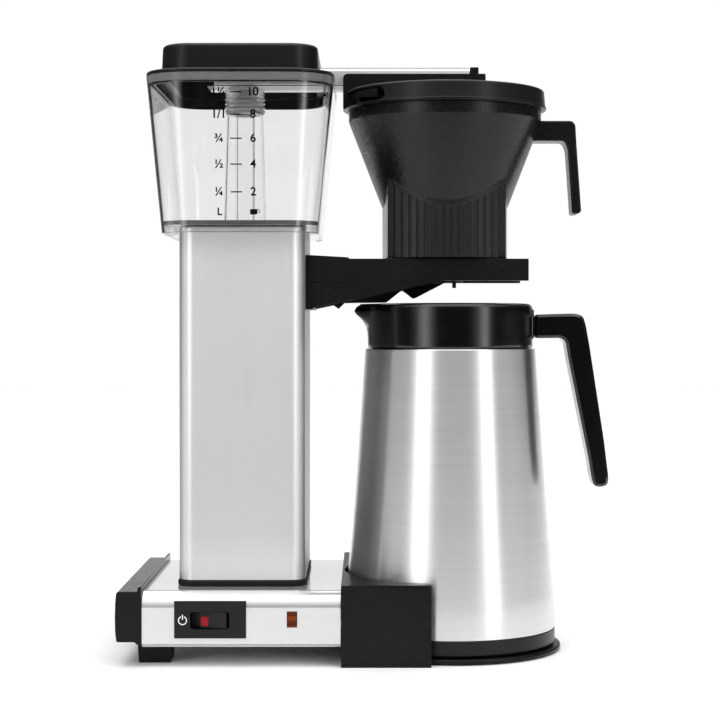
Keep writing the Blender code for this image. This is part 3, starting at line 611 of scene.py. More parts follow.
def switch():
    """Panel with the rocker's opening and a printed power sign."""
    low, high = box("switch_panel")
    seat, size = middle("power_rocker"), span("power_rocker")
    hole = rounded_rect(seat.x, seat.z, size.x + 0.8, size.z + 0.7, 2.2, 8)
    plug = block((low.x + 3.8, high.x - 3.8), (low.y + 0.5, high.y), (low.z + 2.8, high.z - 2.8))
    plate = block((low.x, high.x), (low.y + 0.06, low.y + 0.7), (low.z, high.z))
    cuts = [prism(hole, "Y", low.y - 3, high.y + 3)]
    shape("switch_plate", plate, PANEL_BLACK, "switch_panel", 0.12, cuts, [plug])
    x, z, face, thick = low.x + 5.2, seat.z + 0.1, low.y, low.y + 0.3
    ring = [(2.2, face), (2.8, face), (2.8, thick), (2.2, thick)]
    made = link_mesh("power_sign", turned(ring, (x, z), 64, "Y"))
    cut(made, block((x - 0.95, x + 0.95), (face - 1, face + 1), (z + 1.4, z + 4)))
    join(made, block((x - 0.3, x + 0.3), (face, thick), (z + 0.5, z + 3.6)))
    finish_piece(made, WHITE_INK, "switch_panel", slot="switch_black")


def rocker():
    """Rocker tipped to its left end, which is sunk, with a red mark beside the step."""
    joint = JOINTS["power_rocker_tilt"]
    px, py, _ = Vector(joint["pos_m"]) / MM
    low, high = box("power_rocker")
    turn = Matrix.Rotation(-math.radians(joint["range_deg"][1] / 2), 3, "Z")

    def tipped(form):
        bmesh.ops.rotate(form, verts=form.verts, cent=Vector((px, py, 0)) * MM, matrix=turn)
        return form

    radius, centre_y, rise = 11.8, 5.6, 6.9
    outline = [
        (-radius, 0.9), (radius, 0.9), (radius, 0.0), (radius - 0.5, -rise + 0.4),
        (radius - 1.1, -rise), (0.6, -centre_y - 0.1), (-5.9, -centre_y - 0.4),
        (-6.2, -centre_y), (-6.4, -2.6), (-radius + 0.4, -2.2), (-radius, 0.0),
    ]
    outline = [(px + x, py + y) for x, y in round_corners(outline, 0.35, 4)]
    made = link_mesh("rocker_cap", tipped(prism(outline, "Z", low.z, high.z)))
    soften(made, 0.4)
    cut(made, tipped(block((px - 5.0, px - 0.3), (py - 9.0, py - 5.2), (low.z + 1.2, high.z - 3.1))))
    finish_piece(made, PANEL_BLACK, "power_rocker")
    mark = tipped(block(
        (px - 4.95, px - 0.35), (py - 5.85, py - 5.25), (low.z + 1.25, high.z - 3.15)))
    mark = link_mesh("rocker_mark", mark)
    soften(mark, 0.2)
    finish_piece(mark, RED, "power_rocker", slot="switch_black")


def indicator():
    """Lens of the power lamp, ribbed on its inner side."""
    low, high = box("indicator_lens")
    ribs = []
    for step in range(3):
        z = low.z + 2.1 + 2.6 * step
        ribs.append(block((low.x + 0.9, high.x - 0.9), (high.y - 8.5, high.y + 1), (z, z + 1.2)))
    form = block((low.x, high.x), (low.y, high.y), (low.z, high.z))
    shape("lens", form, AMBER, "indicator_lens", 0.5, ribs)


# -------- tower and tank

def tower():
    """Metal shell with a rolled top edge, the cap that closes it, and the seal on top."""
    low = box("tower_housing")[0]
    cap_low, cap_high = box("tower_top")
    top, edge, corner = cap_high.z - 0.2, 1.2, 10.0
    outer = inset_rect("tower_housing", 0.0, corner)
    inner = inset_rect("tower_housing", 2.0, corner - 2.0)
    loops = [(outer, low.z), (outer, top - edge)]
    for degrees in (30, 60, 90):
        turn = math.radians(degrees)
        inset = edge * (1 - math.cos(turn))
        ring = inset_rect("tower_housing", inset, corner - inset)
        loops.append((ring, top - edge + edge * math.sin(turn)))
    loops += [(inner, top), (inner, low.z)]
    made = link_mesh("tower_shell", loft(loops, closed=True))
    finish_piece(made, ALUMINIUM, "tower_housing", 40.0)
    plug = inset_rect("tower_housing", 2.3, corner - 2.3)
    lining = inset_rect("tower_housing", 5.3, corner - 5.0)
    loops = [(plug, cap_high.z), (plug, cap_low.z), (lining, cap_low.z), (lining, cap_high.z - 2.3)]
    holes = []
    for node, radius in (("riser_hose", 8.0), ("inlet_seal", 9.0)):
        place = middle(node)
        holes.append(turned(rod(radius, cap_low.z, cap_high.z + 3), place[:2], 48))
    shape("tower_cap", loft(loops), BLACK, "tower_top", 0.0, holes)
    low, high = box("tower_gasket")
    rows = [
        (0.3, low.z), (0.0, low.z + 0.5), (0.0, high.z - 0.9), (0.8, high.z), (2.8, high.z),
        (2.8, low.z),
    ]
    loops = [(inset_rect("tower_gasket", inset, 10.8 - inset, 16), z) for inset, z in rows]
    made = link_mesh("tower_seal", loft(loops, closed=True))
    finish_piece(made, RUBBER, "tower_gasket")


def tank_outline(height, inset=0.0):
    """The tank's tapered outline at a height, moved in by inset."""
    low, high = box("water_tank")
    foot_width, foot_depth = 100.8, 136.0
    centre, rim = middle("water_tank"), high - low
    t = (height - low.z) / rim.z
    width = foot_width + (rim.x - foot_width) * t - 2 * inset
    depth = foot_depth + (rim.y - foot_depth) * t - 2 * inset
    return rounded_rect(centre.x, centre.y, width, depth, 22.0 + 7.0 * t - inset, 18)


def arm_slot(low_z, high_z):
    """Where the arm crosses the tank's right wall and lid, with some slack."""
    low, high = box("outlet_arm")
    right, slack = box("water_tank")[1].x, 1.2
    return block((right - 37, right + 15), (low.y - slack, high.y + slack), (low_z, high_z))


def tank():
    """Clear tapered tank with its foot rim, rim band, floor and the riser's sleeve."""
    low, high = box("water_tank")
    riser, port = middle("riser_tube"), middle("inlet_seal")
    top_plate = box("tower_top")[1].z
    wall, under, floor, band = 1.5, top_plate + 0.3, top_plate + 3.0, high.z - 5.1

    def tank_loft(rows, closed=True):
        return loft([(tank_outline(at, inset), z) for at, inset, z in rows], closed)

    walls = [
        (band, wall, band), (band, 0.0, band), (low.z, 0.0, low.z + 0.4), (low.z, 0.4, low.z),
        (low.z, wall - 0.3, low.z), (low.z, wall, low.z + 0.4),
    ]
    made = link_mesh("tank", tank_loft(walls))
    finish_piece(made, CLEAR, "water_tank", 28.0)
    plate = tank_loft([(under, wall + 0.1, under), (floor, wall + 0.1, floor)], closed=False)
    holes = []
    for place, radius, sides in ((riser, 13.0, 64), (port, 5.0, 40)):
        holes.append(turned(rod(radius, low.z, floor + 6), place[:2], sides))
    shape("tank_floor", plate, FLOOR_CLEAR, "water_tank", 0.3, holes, slot="clear_plastic")
    sleeve_top = box("riser_connector")[0].z - 0.3
    tube = [(12.9, floor + 0.1), (13.9, floor + 0.1), (11.8, sleeve_top), (10.8, sleeve_top)]
    tube = turned(tube, riser[:2], 64)
    shape("tank_sleeve", tube, CLEAR_INNER, "water_tank", slot="clear_plastic")
    rows = [
        (band, 0.0, band), (high.z - 0.4, 0.0, high.z - 0.4), (high.z, 0.4, high.z),
        (high.z, wall - 0.4, high.z), (high.z, wall, high.z - 0.4), (band, wall, band),
    ]
    rim = link_mesh("tank_rim", tank_loft(rows))
    cut(rim, arm_slot(box("outlet_arm")[0].z - 0.6, high.z + 5))
    finish_piece(rim, SMOKY, "water_tank", 28.0, "clear_plastic")


def characters(name, body, size):
    """A few flat characters in the X-Y plane, centred."""
    curve = bpy.data.curves.new("letters", "FONT")
    curve.body = body
    curve.size = size * MM
    curve.align_x = curve.align_y = "CENTER"
    curve.extrude = 0.03 * MM
    curve.offset = 0.16 * MM
    curve.resolution_u = 6
    letters = add_object("letters", curve)
    mesh = evaluated_mesh(letters)
    bpy.data.objects.remove(letters)
    return add_object(name, mesh)


def on_tank_front(made, x, z):
    """Lay a flat piece, drawn in the X-Y plane, on the tank's leaning front wall."""
    low, high = box("water_tank")
    foot, rim = middle("water_tank").y - 68.0, low.y
    lean = math.atan2(foot - rim, high.z - low.z)
    y = foot + (rim - foot) * (z - low.z) / (high.z - low.z)
    turn = Matrix.Rotation(math.radians(90) + lean, 4, "X")
    made.data.transform(Matrix.Translation(Vector((x, y - 0.04, z)) * MM) @ turn)
    made.data.shade_flat()
    made.data.materials.clear()
    made.data.materials.append(INK)
    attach(made, "machine")


def tank_scale():
    """Litre fractions, dashes and cup numbers, set out up the front wall."""
    x = middle("water_tank").x
    litres, dashes, cups = x - 11.6, x - 1.0, x + 9.6
    back, front = -0.03, 0.03
    levels = [(296.0, "¼"), (313.2, "½"), (329.2, "¾"), (344.0, "1/1"), (357.8, "1¼")]
    for number, (z, fraction) in enumerate(levels, 1):
        on_tank_front(characters(f"scale_litres_{number}", fraction, 7.3), litres, z)
        on_tank_front(characters(f"scale_cups_{number}", str(2 * number), 7.4), cups, z)
        dash = prism(rounded_rect(0, 0, 7.4, 0.8, 0.35, 3), "Z", back, front)
        on_tank_front(link_mesh(f"scale_dash_{number}", dash), dashes, z)
    z = levels[0][0] - 12.4
    on_tank_front(characters("scale_litre_sign", "L", 6.6), litres, z)
    outline = round_corners([(-2.3, -1.7), (2.1, -1.7), (2.3, 1.7), (-2.3, 1.7)], 0.5)
    cup = link_mesh("scale_cup_sign", prism(outline, "Z", back, front))
    handle = [(0.75, back), (1.15, back), (1.15, front), (0.75, front)]
    join(cup, turned(handle, (3.0, 0.5), 32))
    on_tank_front(cup, x + 9.8, z)


def riser():
    """Glass riser and the ribbed coupling that joins it to the arm."""
    low, high = box("riser_tube")
    centre = middle("riser_tube")[:2]
    radius = (high.x - low.x) / 2
    tube = [(radius - 1.2, low.z), (radius, low.z), (radius, high.z), (radius - 1.2, high.z)]
    shape("riser_glass", turned(tube, centre, 48), CLEAR_INNER, "riser_tube")
    low, high = box("riser_connector")
    radius, bore = (high.x - low.x) / 2, 6.6
    profile = [(bore, low.z), (radius - 1.0, low.z)]
    for step in range(4):
        z = low.z + 1.2 + 2.7 * step
        profile += [(radius - 1.2, z), *arc(radius - 0.9, z + 0.9, 0.9, -80, 80, 6)]
        profile += [(radius - 1.2, z + 1.8)]
    profile += [(radius - 0.4, high.z - 3.2), (radius - 0.4, high.z), (bore, high.z)]
    form = turned(profile, centre, 64)
    shape("riser_coupling", form, MILKY, "riser_connector")


def lid():
    """Tank lid: hollow raised middle with a soft top edge, thin flange and short skirt."""
    low, high = box("tank_lid")
    centre = middle("water_tank")
    rim = box("water_tank")[1].z
    flange, flange_top = rim + 0.3, rim + 2.5

    def ring(width, depth, radius, z):
        return rounded_rect(centre.x, centre.y, width, depth, radius, 18), z

    def brim(inset, z):
        return tank_outline(rim, inset), z

    loops = []
    for degrees in range(0, 105, 15):
        turn, edge = math.radians(degrees), 2.6
        inset = edge * (1 - math.sin(turn))
        z = high.z - edge * (1 - math.cos(turn))
        loops.append(ring(99.0 - 2 * inset, 132.2 - 2 * inset, 18.6 - inset, z))
    loops += [
        ring(100.2, 133.4, 19.0, flange_top + 1.6), ring(100.8, 134.0, 19.4, flange_top + 0.5),
        ring(102.4, 135.6, 20.0, flange_top), brim(0.8, flange_top),
        brim(0.1, flange_top - 0.6), brim(0.0, flange + 0.3), brim(0.4, flange),
        ring(111.6, 148.6, 25.0, flange), ring(111.0, 148.0, 25.0, low.z + 0.6),
        ring(110.2, 147.2, 24.6, low.z), ring(108.2, 145.2, 23.6, low.z),
        ring(107.4, 144.4, 23.2, low.z + 0.6), ring(107.4, 144.4, 23.2, flange + 0.4),
        ring(96.4, 129.6, 17.0, flange + 0.8), ring(94.0, 127.2, 16.0, high.z - 2.2),
    ]
    made = link_mesh("lid", loft(loops))
    cut(made, arm_slot(low.z - 5, box("outlet_arm")[1].z + 0.6))
    finish_piece(made, BLACK, "tank_lid", 40.0)


def arm():
    """Bent steel channel closed by a strip below, seen as a seam along its side."""
    low, high = box("outlet_arm")
    centre_y = middle("outlet_arm").y
    seam = low.z + 3.1
    side = [
        (1.3, low.z), (0.1, seam - 0.3), (1.0, seam - 0.3), (1.0, seam + 0.35),
        (0.7, seam + 0.35), (0.0, seam + 1.9), (0.0, high.z - 2.5), (0.4, high.z - 1.5),
        (1.3, high.z - 0.6), (1.9, high.z - 0.5), (2.0, high.z - 0.2),
    ]
    outline = [(low.y + y, z) for y, z in side] + [(high.y - y, z) for y, z in reversed(side)]
    made = link_mesh("arm", prism(outline, "X", low.x, high.x))
    tongue = [
        (low.x - 4.7, seam - 0.3), (low.x + 3, seam - 0.3), (low.x + 3, low.z),
        (low.x - 2.4, low.z),
    ]
    join(made, prism(tongue, "Y", low.y + 1.0, high.y - 1.0))
    cut(made, block((low.x + 1, high.x + 5), (low.y + 2.4, high.y - 2.4), (low.z + 1, high.z - 1)))
    for step in range(5):
        outlet = (30.0 + 5.5 * step, centre_y)
        cut(made, turned(rod(1.5, low.z - 2, low.z + 3), outlet, 24))
    cut(made, turned(rod(5.2, low.z - 2, low.z + 3), middle("riser_tube")[:2], 48))
    finish_piece(made, ARM_STEEL, "outlet_arm")

    def strip(inset_y, z):
        return block((low.x + 0.3, high.x - 0.3), (low.y + inset_y, high.y - inset_y), z)

    # The seam is a real groove; painted shade: a thin black strip darkens it, and another draws a dark line along
    # the top edge
    line, crest = strip(0.75, (seam - 0.25, seam + 0.3)), strip(1.6, (high.z - 0.45, high.z - 0.05))
    shape("arm_shade_strips", line, RUBBER, "outlet_arm", joins=[crest], slot="rubber")
    plug_low, plug_high = box("arm_end_plug")
    face = block((high.x + 0.3, plug_high.x), (plug_low.y, plug_high.y), (plug_low.z, plug_high.z))
    stem = block(
        (plug_low.x, high.x + 2), (low.y + 2.6, high.y - 2.6), (low.z + 1.4, high.z - 1.4))
    shape("arm_plug", face, BLACK, "arm_end_plug", 0.5, joins=[stem])


# -------- basket

COVER_R = 66.9                # radius of the basket's lid
CONE_R, CONE_TOP = 63.6, 347.0    # the brew cone's widest place


def cone_radius(height):
    """Outer radius of the brew cone, which narrows downwards."""
    return CONE_R - 0.3896 * (CONE_TOP - height)


def sleeve_outline(centre, ribbed=True):
    """Plan of the sleeve: sides that widen to the middle, bowed faces with fine upright ribs."""
    half, wide, bow, corner = 38.2, 41.3, 41.7, 30.0
    rise = bow - corner
    radius = (half ** 2 + rise ** 2) / (2 * rise)
    pitch, rib_width, rib_height, steps = 4.75, 2.4, 0.8, 288
    face = []
    for k in range(steps + 1):
        x = half - 2 * half * k / steps
        off = abs(x - pitch * round(x / pitch))
        relief = 0.0
        if abs(x) <= half - 3.0 and not ribbed:
            relief = rib_height
        elif abs(x) < half - 3.0 and off < rib_width / 2:
            relief = rib_height * math.cos(math.pi * off / rib_width) ** 2
        face.append((x, bow - radius + math.sqrt(radius ** 2 - x ** 2) + relief))
    points = [*face, (-wide, 2.0), (-wide, -2.0)]
    points += [*((-x, -y) for x, y in face), (wide, -2.0), (wide, 2.0)]
    return [(centre.x + x, centre.y + y) for x, y in points]


def basket_sleeve(centre, cone):
    """Ribbed sleeve below the cone, with a smooth band where they meet and glossy end faces."""
    low, high = box("basket_bracket")[1].z - 1.5, 312.0
    floor, clear = 265.0, 1.3
    made = link_mesh("basket_sleeve", prism(sleeve_outline(centre), "Z", low, high))
    band = link_mesh("sleeve_band", prism(sleeve_outline(centre, False), "Z", low, high))
    near = [(0, floor), (cone_radius(floor) + clear, floor), (CONE_R + clear, CONE_TOP)]
    combine(band, turned([*near, (0, CONE_TOP)], centre[:2], 160), "INTERSECT")
    edge = bmesh.new()
    edge.from_mesh(band.data)
    bpy.data.objects.remove(band)
    join(made, edge)
    cut(made, cone)
    finish_piece(made, SLEEVE_BLACK, "brew_basket", 50.0, "black_plastic")
    made.data.materials.append(GLOSS)
    for face in made.data.polygons:
        if abs(face.normal.x) > 0.95 and abs(face.center.y / MM - centre.y) < 29.9:
            face.material_index = 1


def basket():
    """Brew cone with its foot, its bent handle, the valve's hole and the sleeve."""
    low = box("brew_basket")[0]
    centre = Vector((box("basket_lid")[1].x - COVER_R, middle("basket_lid").y))
    rim, floor, bottom, wall = 353.5, 265.0, 262.0, 2.3
    profile = [
        (0, bottom), (cone_radius(bottom), bottom), (cone_radius(CONE_TOP - 1), CONE_TOP - 1),
        (CONE_R - 0.1, CONE_TOP), (CONE_R, CONE_TOP + 0.5), (CONE_R, rim), (0, rim),
    ]
    made = link_mesh("basket", turned(profile, centre, 160))
    basket_sleeve(centre, turned(profile, centre, 160))
    join(made, block((13.0, 87.0), (centre.y - 32.9, centre.y + 32.9), (low.z, 257.0)))
    outline = [
        (98.0, 333.8), (104.0, 347.1), (132.4, 347.1), (134.6, 344.4), (135.2, 333.0),
        (138.4, 287.4), (136.6, 286.0), (132.4, 285.4), (129.4, 328.4), (127.2, 333.8),
    ]
    join(made, prism(round_corners(outline, 3.0, 6), "Y", centre.y - 10.0, centre.y + 10.0), 1.2)
    inner = [(0, floor), (cone_radius(floor) - wall, floor), (CONE_R - wall, CONE_TOP)]
    inner += [(CONE_R - wall, rim + 5), (0, rim + 5)]
    cut(made, turned(inner, centre))
    for hole in (rod(4.6, 240.0, floor + 3), rod(6.8, 240.0, 255.0)):
        cut(made, turned(hole, middle("drip_valve")[:2], 40))
    finish_piece(made, BASKET_BLACK, "brew_basket", 30.0)


def basket_cover():
    """Round lid with its rolled skirt, its catch, and the channel that the arm lies in."""
    low, high = box("basket_lid")
    arm_low, arm_high = box("outlet_arm")
    centre = (high.x - COVER_R, middle("basket_lid").y)
    radius, skirt, top = COVER_R, 354.3, 366.7
    profile = [
        (0, top - 4.1), (61.5, top - 4.1), (61.5, low.z), (64.0, low.z), (64.0, skirt),
        (radius - 0.3, skirt), (radius, skirt + 0.3), (radius, skirt + 1.3),
        (radius - 0.5, skirt + 1.9), *arc(radius - 2.9, top - 1.6, 1.6, 0, 90, 8),
        (62.4, top), (61.4, top - 0.9), (60.6, top - 2.0), (0, top - 2.0),
    ]
    made = link_mesh("basket_cover", turned(profile, centre, 160))
    wall = 1.9
    front, back = arm_low.y - 0.6, arm_high.y + 0.6
    left, right = low.x, 75.5
    side = [
        (left, 355.0), (left + 3.4, 355.0), (left + 3.4, top - 2.7), (right, top - 2.7),
        (right, high.z), (left + 2.5, high.z), (left + 0.7, high.z - 0.8), (left, high.z - 2.6),
    ]
    for y in ((front - wall, front), (back, back + wall)):
        join(made, prism(round_corners(side, 0.6, 2), "Y", *y))
    join(made, block((right - wall, right), (front - 0.5, back + 0.5), (top - 2.7, high.z)))
    cut(made, block((left - 5, 0.0), (front, back), (top - 2.0, 373.0)))
    cut(made, block((28.0, 56.0), (centre[1] - 3.0, centre[1] + 3.0), (top - 9, top + 1)))
    window = rounded_rect(left + 12.2, 360.2, 29.4, 9.0, 4.3, 8)
    cut(made, prism(window, "Y", centre[1] - 62.0, front - wall - 1.0))
    finish_piece(made, BLACK, "basket_lid", 35.0)
    clip = [
        (left + 4.8, 364.0), (left + 8.7, 364.0), (left + 11.5, 358.2), (left + 11.1, 356.6),
        (left + 8.9, 356.6), (left + 6.3, 361.0),
    ]
    catch = prism(clip, "Y", centre[1] - 19.0, centre[1] - 15.0)
    shape("lid_catch", catch, BLACK, "basket_lid", 0.5, slot="black_plastic")


def bracket():
    """Arm of the tower that the basket slides into: collar, gussets and two rails."""
    low, high = box("basket_bracket")
    front, back, left = low.y, high.y, low.x
    wall, ledge, collar, rail_top = 3.5, 241.3, -14.8, 255.4
    outline = [
        (left, low.z), (47.5, ledge), (high.x, ledge), (high.x, rail_top),
        (collar + 1.0, rail_top), (collar, 256.3), (left, high.z),
    ]
    made = link_mesh("bracket", prism(outline, "Y", front, front + wall))
    cut(made, block((left - 2, 50.0), (front - 1, front + 1.1), (low.z - 5, ledge - 0.3)))
    cut(made, block((collar, high.x + 2), (front - 1, front + 0.6), (238.0, 262.0)))
    pin = middle("lever_pin")
    join(made, turned(rod(3.2, front + 0.1, front + 2.0), (pin.x, pin.z), 40, "Y"))
    soften(made, 0.4)
    join(made, prism(outline, "Y", back - wall, back), 0.45)
    join(made, block((left, left + 4.5), (front + 0.5, back - 0.5), (low.z + 0.1, high.z - 0.2)))
    roof = [(left + 1, 252.5), (collar, 252.5), (collar, 256.0), (left + 1, 257.4)]
    join(made, prism(roof, "Y", front + 0.5, back - 0.5))
    for inner in ((front + wall - 1, front + wall + 5), (back - wall - 5, back - wall + 1)):
        join(made, block((collar, high.x), inner, (ledge, ledge + 2.5)))
    finish_piece(made, BLACK, "basket_bracket", 30.0)


def lever():
    """Drip lever: a thin arm from its pin to the valve, with a ramp for the carafe's lid."""
    low, high = box("drip_lever")
    px, _, pz = Vector(JOINTS["drip_lever_lift"]["pos_m"]) / MM
    outline = [
        *arc(px, pz, 4.0, 225, 110, 12), (18.0, 240.2), (48.3, 240.4), (47.0, 239.6),
        (29.6, 230.6), (28.6, 230.3), (27.4, 230.6), (21.0, 235.4), (19.8, 235.2),
        (10.4, 227.7), (-17.4, 227.2), (-21.0, 223.7), (-21.8, 223.6), (-22.8, 224.4),
    ]
    hole = turned(rod(1.8, low.y - 5, high.y + 5), (px, pz), 32, "Y")
    form = prism(outline, "Y", low.y, high.y)
    shape("lever", form, BLACK, "drip_lever", 0.4, [hole])


# -------- carafe

TAPER_FOOT = 33.0             # height where the steel body starts to narrow


def body_radius(height):
    """Outer radius of the steel body: upright at the foot, then a slightly hollow taper."""
    rise = max(height - TAPER_FOOT, 0.0)
    return span("carafe_shell").x / 2 - 0.0925 * rise + 0.000086 * rise * rise


def carafe_body():
    """Steel body with a rolled-in mouth, and the black foot below it."""
    centre = middle("carafe_shell")[:2]
    low, high = box("carafe_shell")
    foot, wall, mouth, top = body_radius(0), 0.9, 53.0, high.z - 0.5
    levels = [TAPER_FOOT + (top - TAPER_FOOT) * k / 24 for k in range(25)]
    profile = [
        (foot - 0.2, low.z), (foot, low.z + 0.3), (foot, 26.0),
        *((body_radius(z), z) for z in levels),
        (body_radius(top) - 0.5, high.z), (mouth, high.z), (mouth, high.z - wall),
        *((body_radius(z) - wall, z - wall) for z in reversed(levels)), (foot - wall, low.z),
    ]
    form = turned(profile, centre, 192)
    shape("carafe_steel", form, STEEL, "carafe_shell", angle=40.0)
    low, high = box("carafe_base")
    radius = (high.x - low.x) / 2
    foot = [
        (0, low.z), (radius - 2.4, low.z), *arc(radius - 2.2, low.z + 2.2, 2.0, -80, 0, 6),
        (radius - 0.1, high.z - 0.5), (radius - 0.5, high.z), (0, high.z),
    ]
    shape("carafe_foot", turned(foot, centre, 192), BLACK, "carafe_base")


def spout_reach(height):
    """How far the spout stands out of the collar at a height."""
    points = [
        (203.0, 0.0), (208.0, 0.3), (212.0, 1.2), (216.0, 3.6), (219.0, 6.6), (221.4, 9.0),
        (223.0, 8.9), (224.6, 7.6), (226.5, 6.2),
    ]
    for (z0, r0), (z1, r1) in zip(points, points[1:]):
        if height <= z1:
            return r0 + (r1 - r0) * max(height - z0, 0.0) / (z1 - z0)
    return points[-1][1]


def collar_ring(centre, radius, reach, half_angle):
    """A circle drawn out to the left into the spout."""
    points, steps = [], 240
    for k in range(steps):
        turn = 2 * math.pi * k / steps
        off = abs(math.degrees(turn) - 180.0)
        r = radius + reach * max(0.0, 1.0 - off / half_angle) ** 1.7
        points.append((centre[0] + r * math.cos(turn), centre[1] + r * math.sin(turn)))
    return points


def carafe_collar():
    """Collar with its pouring spout, its open mouth and the handle's seat."""
    low, high = box("carafe_collar")
    centre = middle("carafe_lid")[:2]
    radius, bore, top = (high.y - low.y) / 2, 46.9, high.z
    rows = [
        (1.0, low.z), (0.35, low.z + 0.35), (0.0, low.z + 1.0),
        *((0.0, low.z + 1.0 + 1.45 * k) for k in range(1, 17)), (0.05, top - 2.6),
        (0.35, top - 1.7), (0.9, top - 1.0), (1.6, top - 0.5), (2.6, top - 0.1), (3.6, top),
    ]
    loops = [(collar_ring(centre, radius - inset, spout_reach(z), 17.0), z) for inset, z in rows]
    loops.append((collar_ring(centre, bore + 1.2, 11.0, 13.0), top - 0.1))
    # Down the inside: depth, how much wider than the bore, and the lip's reach
    lip = [(0.3, 0.36, 12.4), (1.8, 0.3, 11.075), (4.3, 0.18, 8.6), (8.3, 0.06, 3.0)]
    for depth, widen, reach in lip:
        loops.append((collar_ring(centre, bore + widen, reach, 12.0), top - depth))
    loops += [(collar_ring(centre, bore, 0.0, 12.0), z) for z in (top - 13.0, low.z)]
    made = link_mesh("collar", loft(loops, closed=True))
    seat = block((centre[0] + 48.5, high.x), (centre[1] - 12, centre[1] + 12), (203.3, 223.4))
    join(made, seat, 1.6)
    finish_piece(made, GLOSS, "carafe_collar", 35.0)


def carafe_handle():
    """Bent grip, rounded along its edges, with the screw's hole."""
    low, high = box("carafe_handle")
    outline = [
        (low.x, 204.1), (low.x, 219.6), (134.4, high.z), (139.6, 218.6), (141.4, 212.4),
        (143.9, 198.2), (153.4, 136.1), (high.x, 112.0), (155.6, 107.6), (151.2, low.z),
        (146.8, 106.9), (145.1, 112.1), (143.2, 124.5), (129.8, 191.0), (128.2, 201.4),
        (125.4, 204.3),
    ]
    made = link_mesh("handle", prism(round_corners(outline, 2.4, 6), "Y", low.y, high.y))
    soften(made, 3.2, 1, 50.0)
    soften(made, 1.4, 4, 35.0)
    for hole in (rod(1.8, 200.0, 217.0), rod(3.6, 200.0, 207.4)):
        cut(made, turned(hole, (117.0, (low.y + high.y) / 2), 24))
    finish_piece(made, GLOSS, "carafe_handle", 40.0)


def carafe_stopper():
    """Lid with a dished middle, a drain hole and two finger grips."""
    low, high = box("carafe_lid")
    centre = middle("carafe_lid")
    top, radius, groove = high.z - 1.7, 44.6, 43.4
    dish = []
    for k in range(9):
        dish.append((39.5 - 30.0 * k / 8, 223.2 - 7.2 * math.sin(math.pi * k / 16)))
    profile = [
        (7.0, low.z), (radius, low.z), (radius, low.z + 3), (groove, low.z + 3),
        (groove, low.z + 7), (radius, low.z + 7), (radius, 214.8), (46.4, 214.8),
        *arc(45.4, top - 1.0, 1.0, 0, 90, 6), (41.0, top), *dish, (7.4, 215.2), (7.0, 214.0),
    ]
    made = link_mesh("stopper", turned(profile, centre[:2]))
    for side in (-1, 1):
        grip = rounded_rect(centre.x, centre.y + side * 34.0, 18.0, 8.0, 3.0, 6)
        join(made, prism(grip, "Z", 219.0, high.z), 0.8)
    finish_piece(made, GLOSS, "carafe_lid", 35.0)


# -------- inner pieces

def dress_inner_pieces():
    """Finishes for the CAD nodes that show as they are."""
    zinc = plain_finish("zinc_steel", (0.55, 0.55, 0.54), 0.35, 1.0)
    copper = plain_finish("copper", (0.78, 0.38, 0.22), 0.3, 1.0, 0.12)
    silicone = plain_finish("silicone", (0.72, 0.72, 0.70), 0.5)
    ceramic = plain_finish("ceramic", (0.82, 0.80, 0.76), 0.6)
    lamp = plain_finish("lamp_glass", (0.85, 0.45, 0.2), 0.15)
    dark = plain_finish("inner_plastic", (0.02, 0.02, 0.02), 0.45)
    groups = [
        (zinc, "base_plate base_screw_1 base_screw_2 base_screw_3 base_screw_4 bracket_screw_1"),
        (zinc, "bracket_screw_2 handle_screw lever_pin lever_spring valve_spring thermostat"),
        (zinc, "heating_element carafe_liner"),
        (copper, "boiler_tube thermal_fuse"),
        (silicone, "inlet_seal cold_water_hose riser_hose valve_seal lid_gasket"),
        (ceramic, "terminal_block"),
        (lamp, "indicator_lamp"),
        (RUBBER, "cord_gland"),
        (dark, "switch_body check_valve drip_valve mixing_tube"),
    ]
    for finish, names in groups:
        for name in names.split():
            materials = frame["nodes"][name].data.materials
            materials.clear()
            materials.append(finish)


# -------- studio

# Brightness of the walls by direction: degrees to the right of the camera's side
WALL_LEVELS = [
    (-180, 1.0), (-167, 1.0), (-159, 0.05), (-110, 0.03), (-60, 0.04), (-50, 0.4), (-43, 2.1),
    (-38, 3.0), (-34, 2.4), (-28, 0.8), (-20, 0.05), (26, 0.04), (37, 0.6), (44, 3.0), (49, 3.5),
    (53, 0.6), (60, 0.05), (95, 0.05), (104, 0.02), (146, 0.02), (164, 1.0), (180, 1.0),
]
# Share of the overhead level by height
RISE = [(0.0, 0.0), (0.14, 0.0), (0.45, 0.35), (0.80, 1.0), (1.0, 1.0)]
# Brightness overhead by direction, dimmer to the rear left and right
TOP_LEVELS = [
    (-180, 1.9), (-158, 1.9), (-148, 0.6), (-105, 0.5), (-80, 1.9), (80, 1.9), (100, 0.4),
    (148, 0.4), (160, 1.9), (180, 1.9),
]
# A dark gap above the pale backdrop: share of the light left by height, and how fully the gap
# counts by direction, which is only behind the machine
REAR_GAP = [(0.0, 1.0), (0.185, 1.0), (0.205, 0.02), (0.42, 0.02), (0.52, 1.0), (1.0, 1.0)]
REAR_SIDE = [(-180, 1.0), (-160, 1.0), (-145, 0.0), (145, 0.0), (160, 1.0), (180, 1.0)]


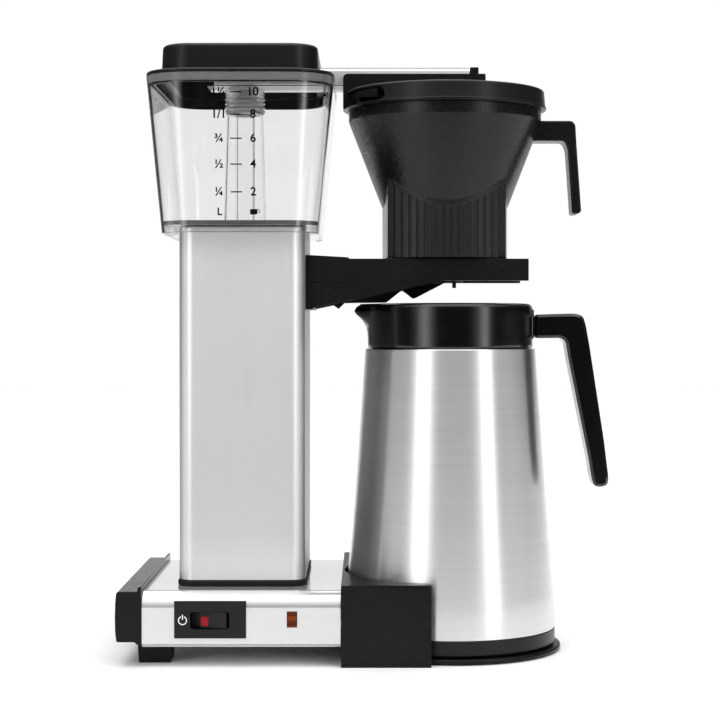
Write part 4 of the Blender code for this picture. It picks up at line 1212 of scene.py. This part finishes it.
def world_light():
    """Studio surround: dim walls with two bright upright strips, bright above and behind."""
    world = bpy.data.worlds.new("studio")
    bpy.context.scene.world = world
    world.use_nodes = True
    tree = world.node_tree
    way = coordinates(tree, "Generated")
    toward = math_node(tree, "MULTIPLY", way["Y"], -1.0)
    turn = math_node(tree, "DEGREES", math_node(tree, "ARCTAN2", way["X"], toward))

    def by_direction(levels):
        return ramp_between(tree, turn, -180.0, 180.0, levels)

    def by_height(levels):
        return ramp_between(tree, way["Z"], 0.0, 1.0, levels)

    glow = mix_node(tree, "MIX", by_height(RISE), by_direction(WALL_LEVELS), by_direction(TOP_LEVELS))
    glow = mix_node(tree, "MULTIPLY", by_direction(REAR_SIDE), glow, by_height(REAR_GAP))
    background = tree.nodes["Background"]
    tree.links.new(glow, background.inputs["Color"])
    background.inputs["Strength"].default_value = 1.0


def floor_sheet():
    """A plain sheet of paper, 0.6 m in front and 5 m behind."""
    bm = bmesh.new()
    corners = [(-4.0, -0.6), (4.0, -0.6), (4.0, 5.0), (-4.0, 5.0)]
    bm.faces.new([bm.verts.new((x, y, 0.0)) for x, y in corners])
    return bm


def floor_paper():
    """White paper with a very faint tooth."""
    made = principled("floor_paper", (0.95, 0.95, 0.95), 0.85, 0.0, 0.1)
    vary_colour(made, noise(made, 3.0), (0.945, 0.945, 0.945), (0.955, 0.955, 0.955))
    bump(made, noise(made, 400.0), 0.02, 0.05)
    return made


def studio():
    scene = bpy.context.scene
    scene.view_settings.view_transform = "Standard"
    world_light()
    light = bpy.data.lights.new("top_light", "AREA")
    light.shape = "RECTANGLE"
    light.size = light.size_y = 2.0
    light.energy = 16.0
    lamp = add_object("top_light", light)
    lamp.location = (0.0, 0.1, 1.9)
    lamp.rotation_euler = lamp.location.to_track_quat("Z", "Y").to_euler()
    floor = link_mesh("studio_floor", floor_sheet())
    floor.data.materials.append(floor_paper())
    # The photograph's camera: level, 1.116 m in front of the machine, with a shifted frame
    lens = bpy.data.cameras.new("camera")
    lens.lens = 90.0
    lens.sensor_width = 36.0
    lens.shift_x = -1 / 120
    lens.shift_y = -2 / 45
    camera = add_object("camera", lens)
    camera.location = (-0.0032, CAD_BOX[0][1] - 1.116, 0.2108)
    camera.rotation_euler = (math.radians(90), 0.0, 0.0)
    scene.camera = camera


studio()
base()
end_cap()
feet()
holder()
switch()
rocker()
indicator()
tower()
tank()
tank_scale()
riser()
lid()
arm()
basket()
basket_cover()
bracket()
lever()
carafe_body()
carafe_collar()
carafe_handle()
carafe_stopper()
dress_inner_pieces()
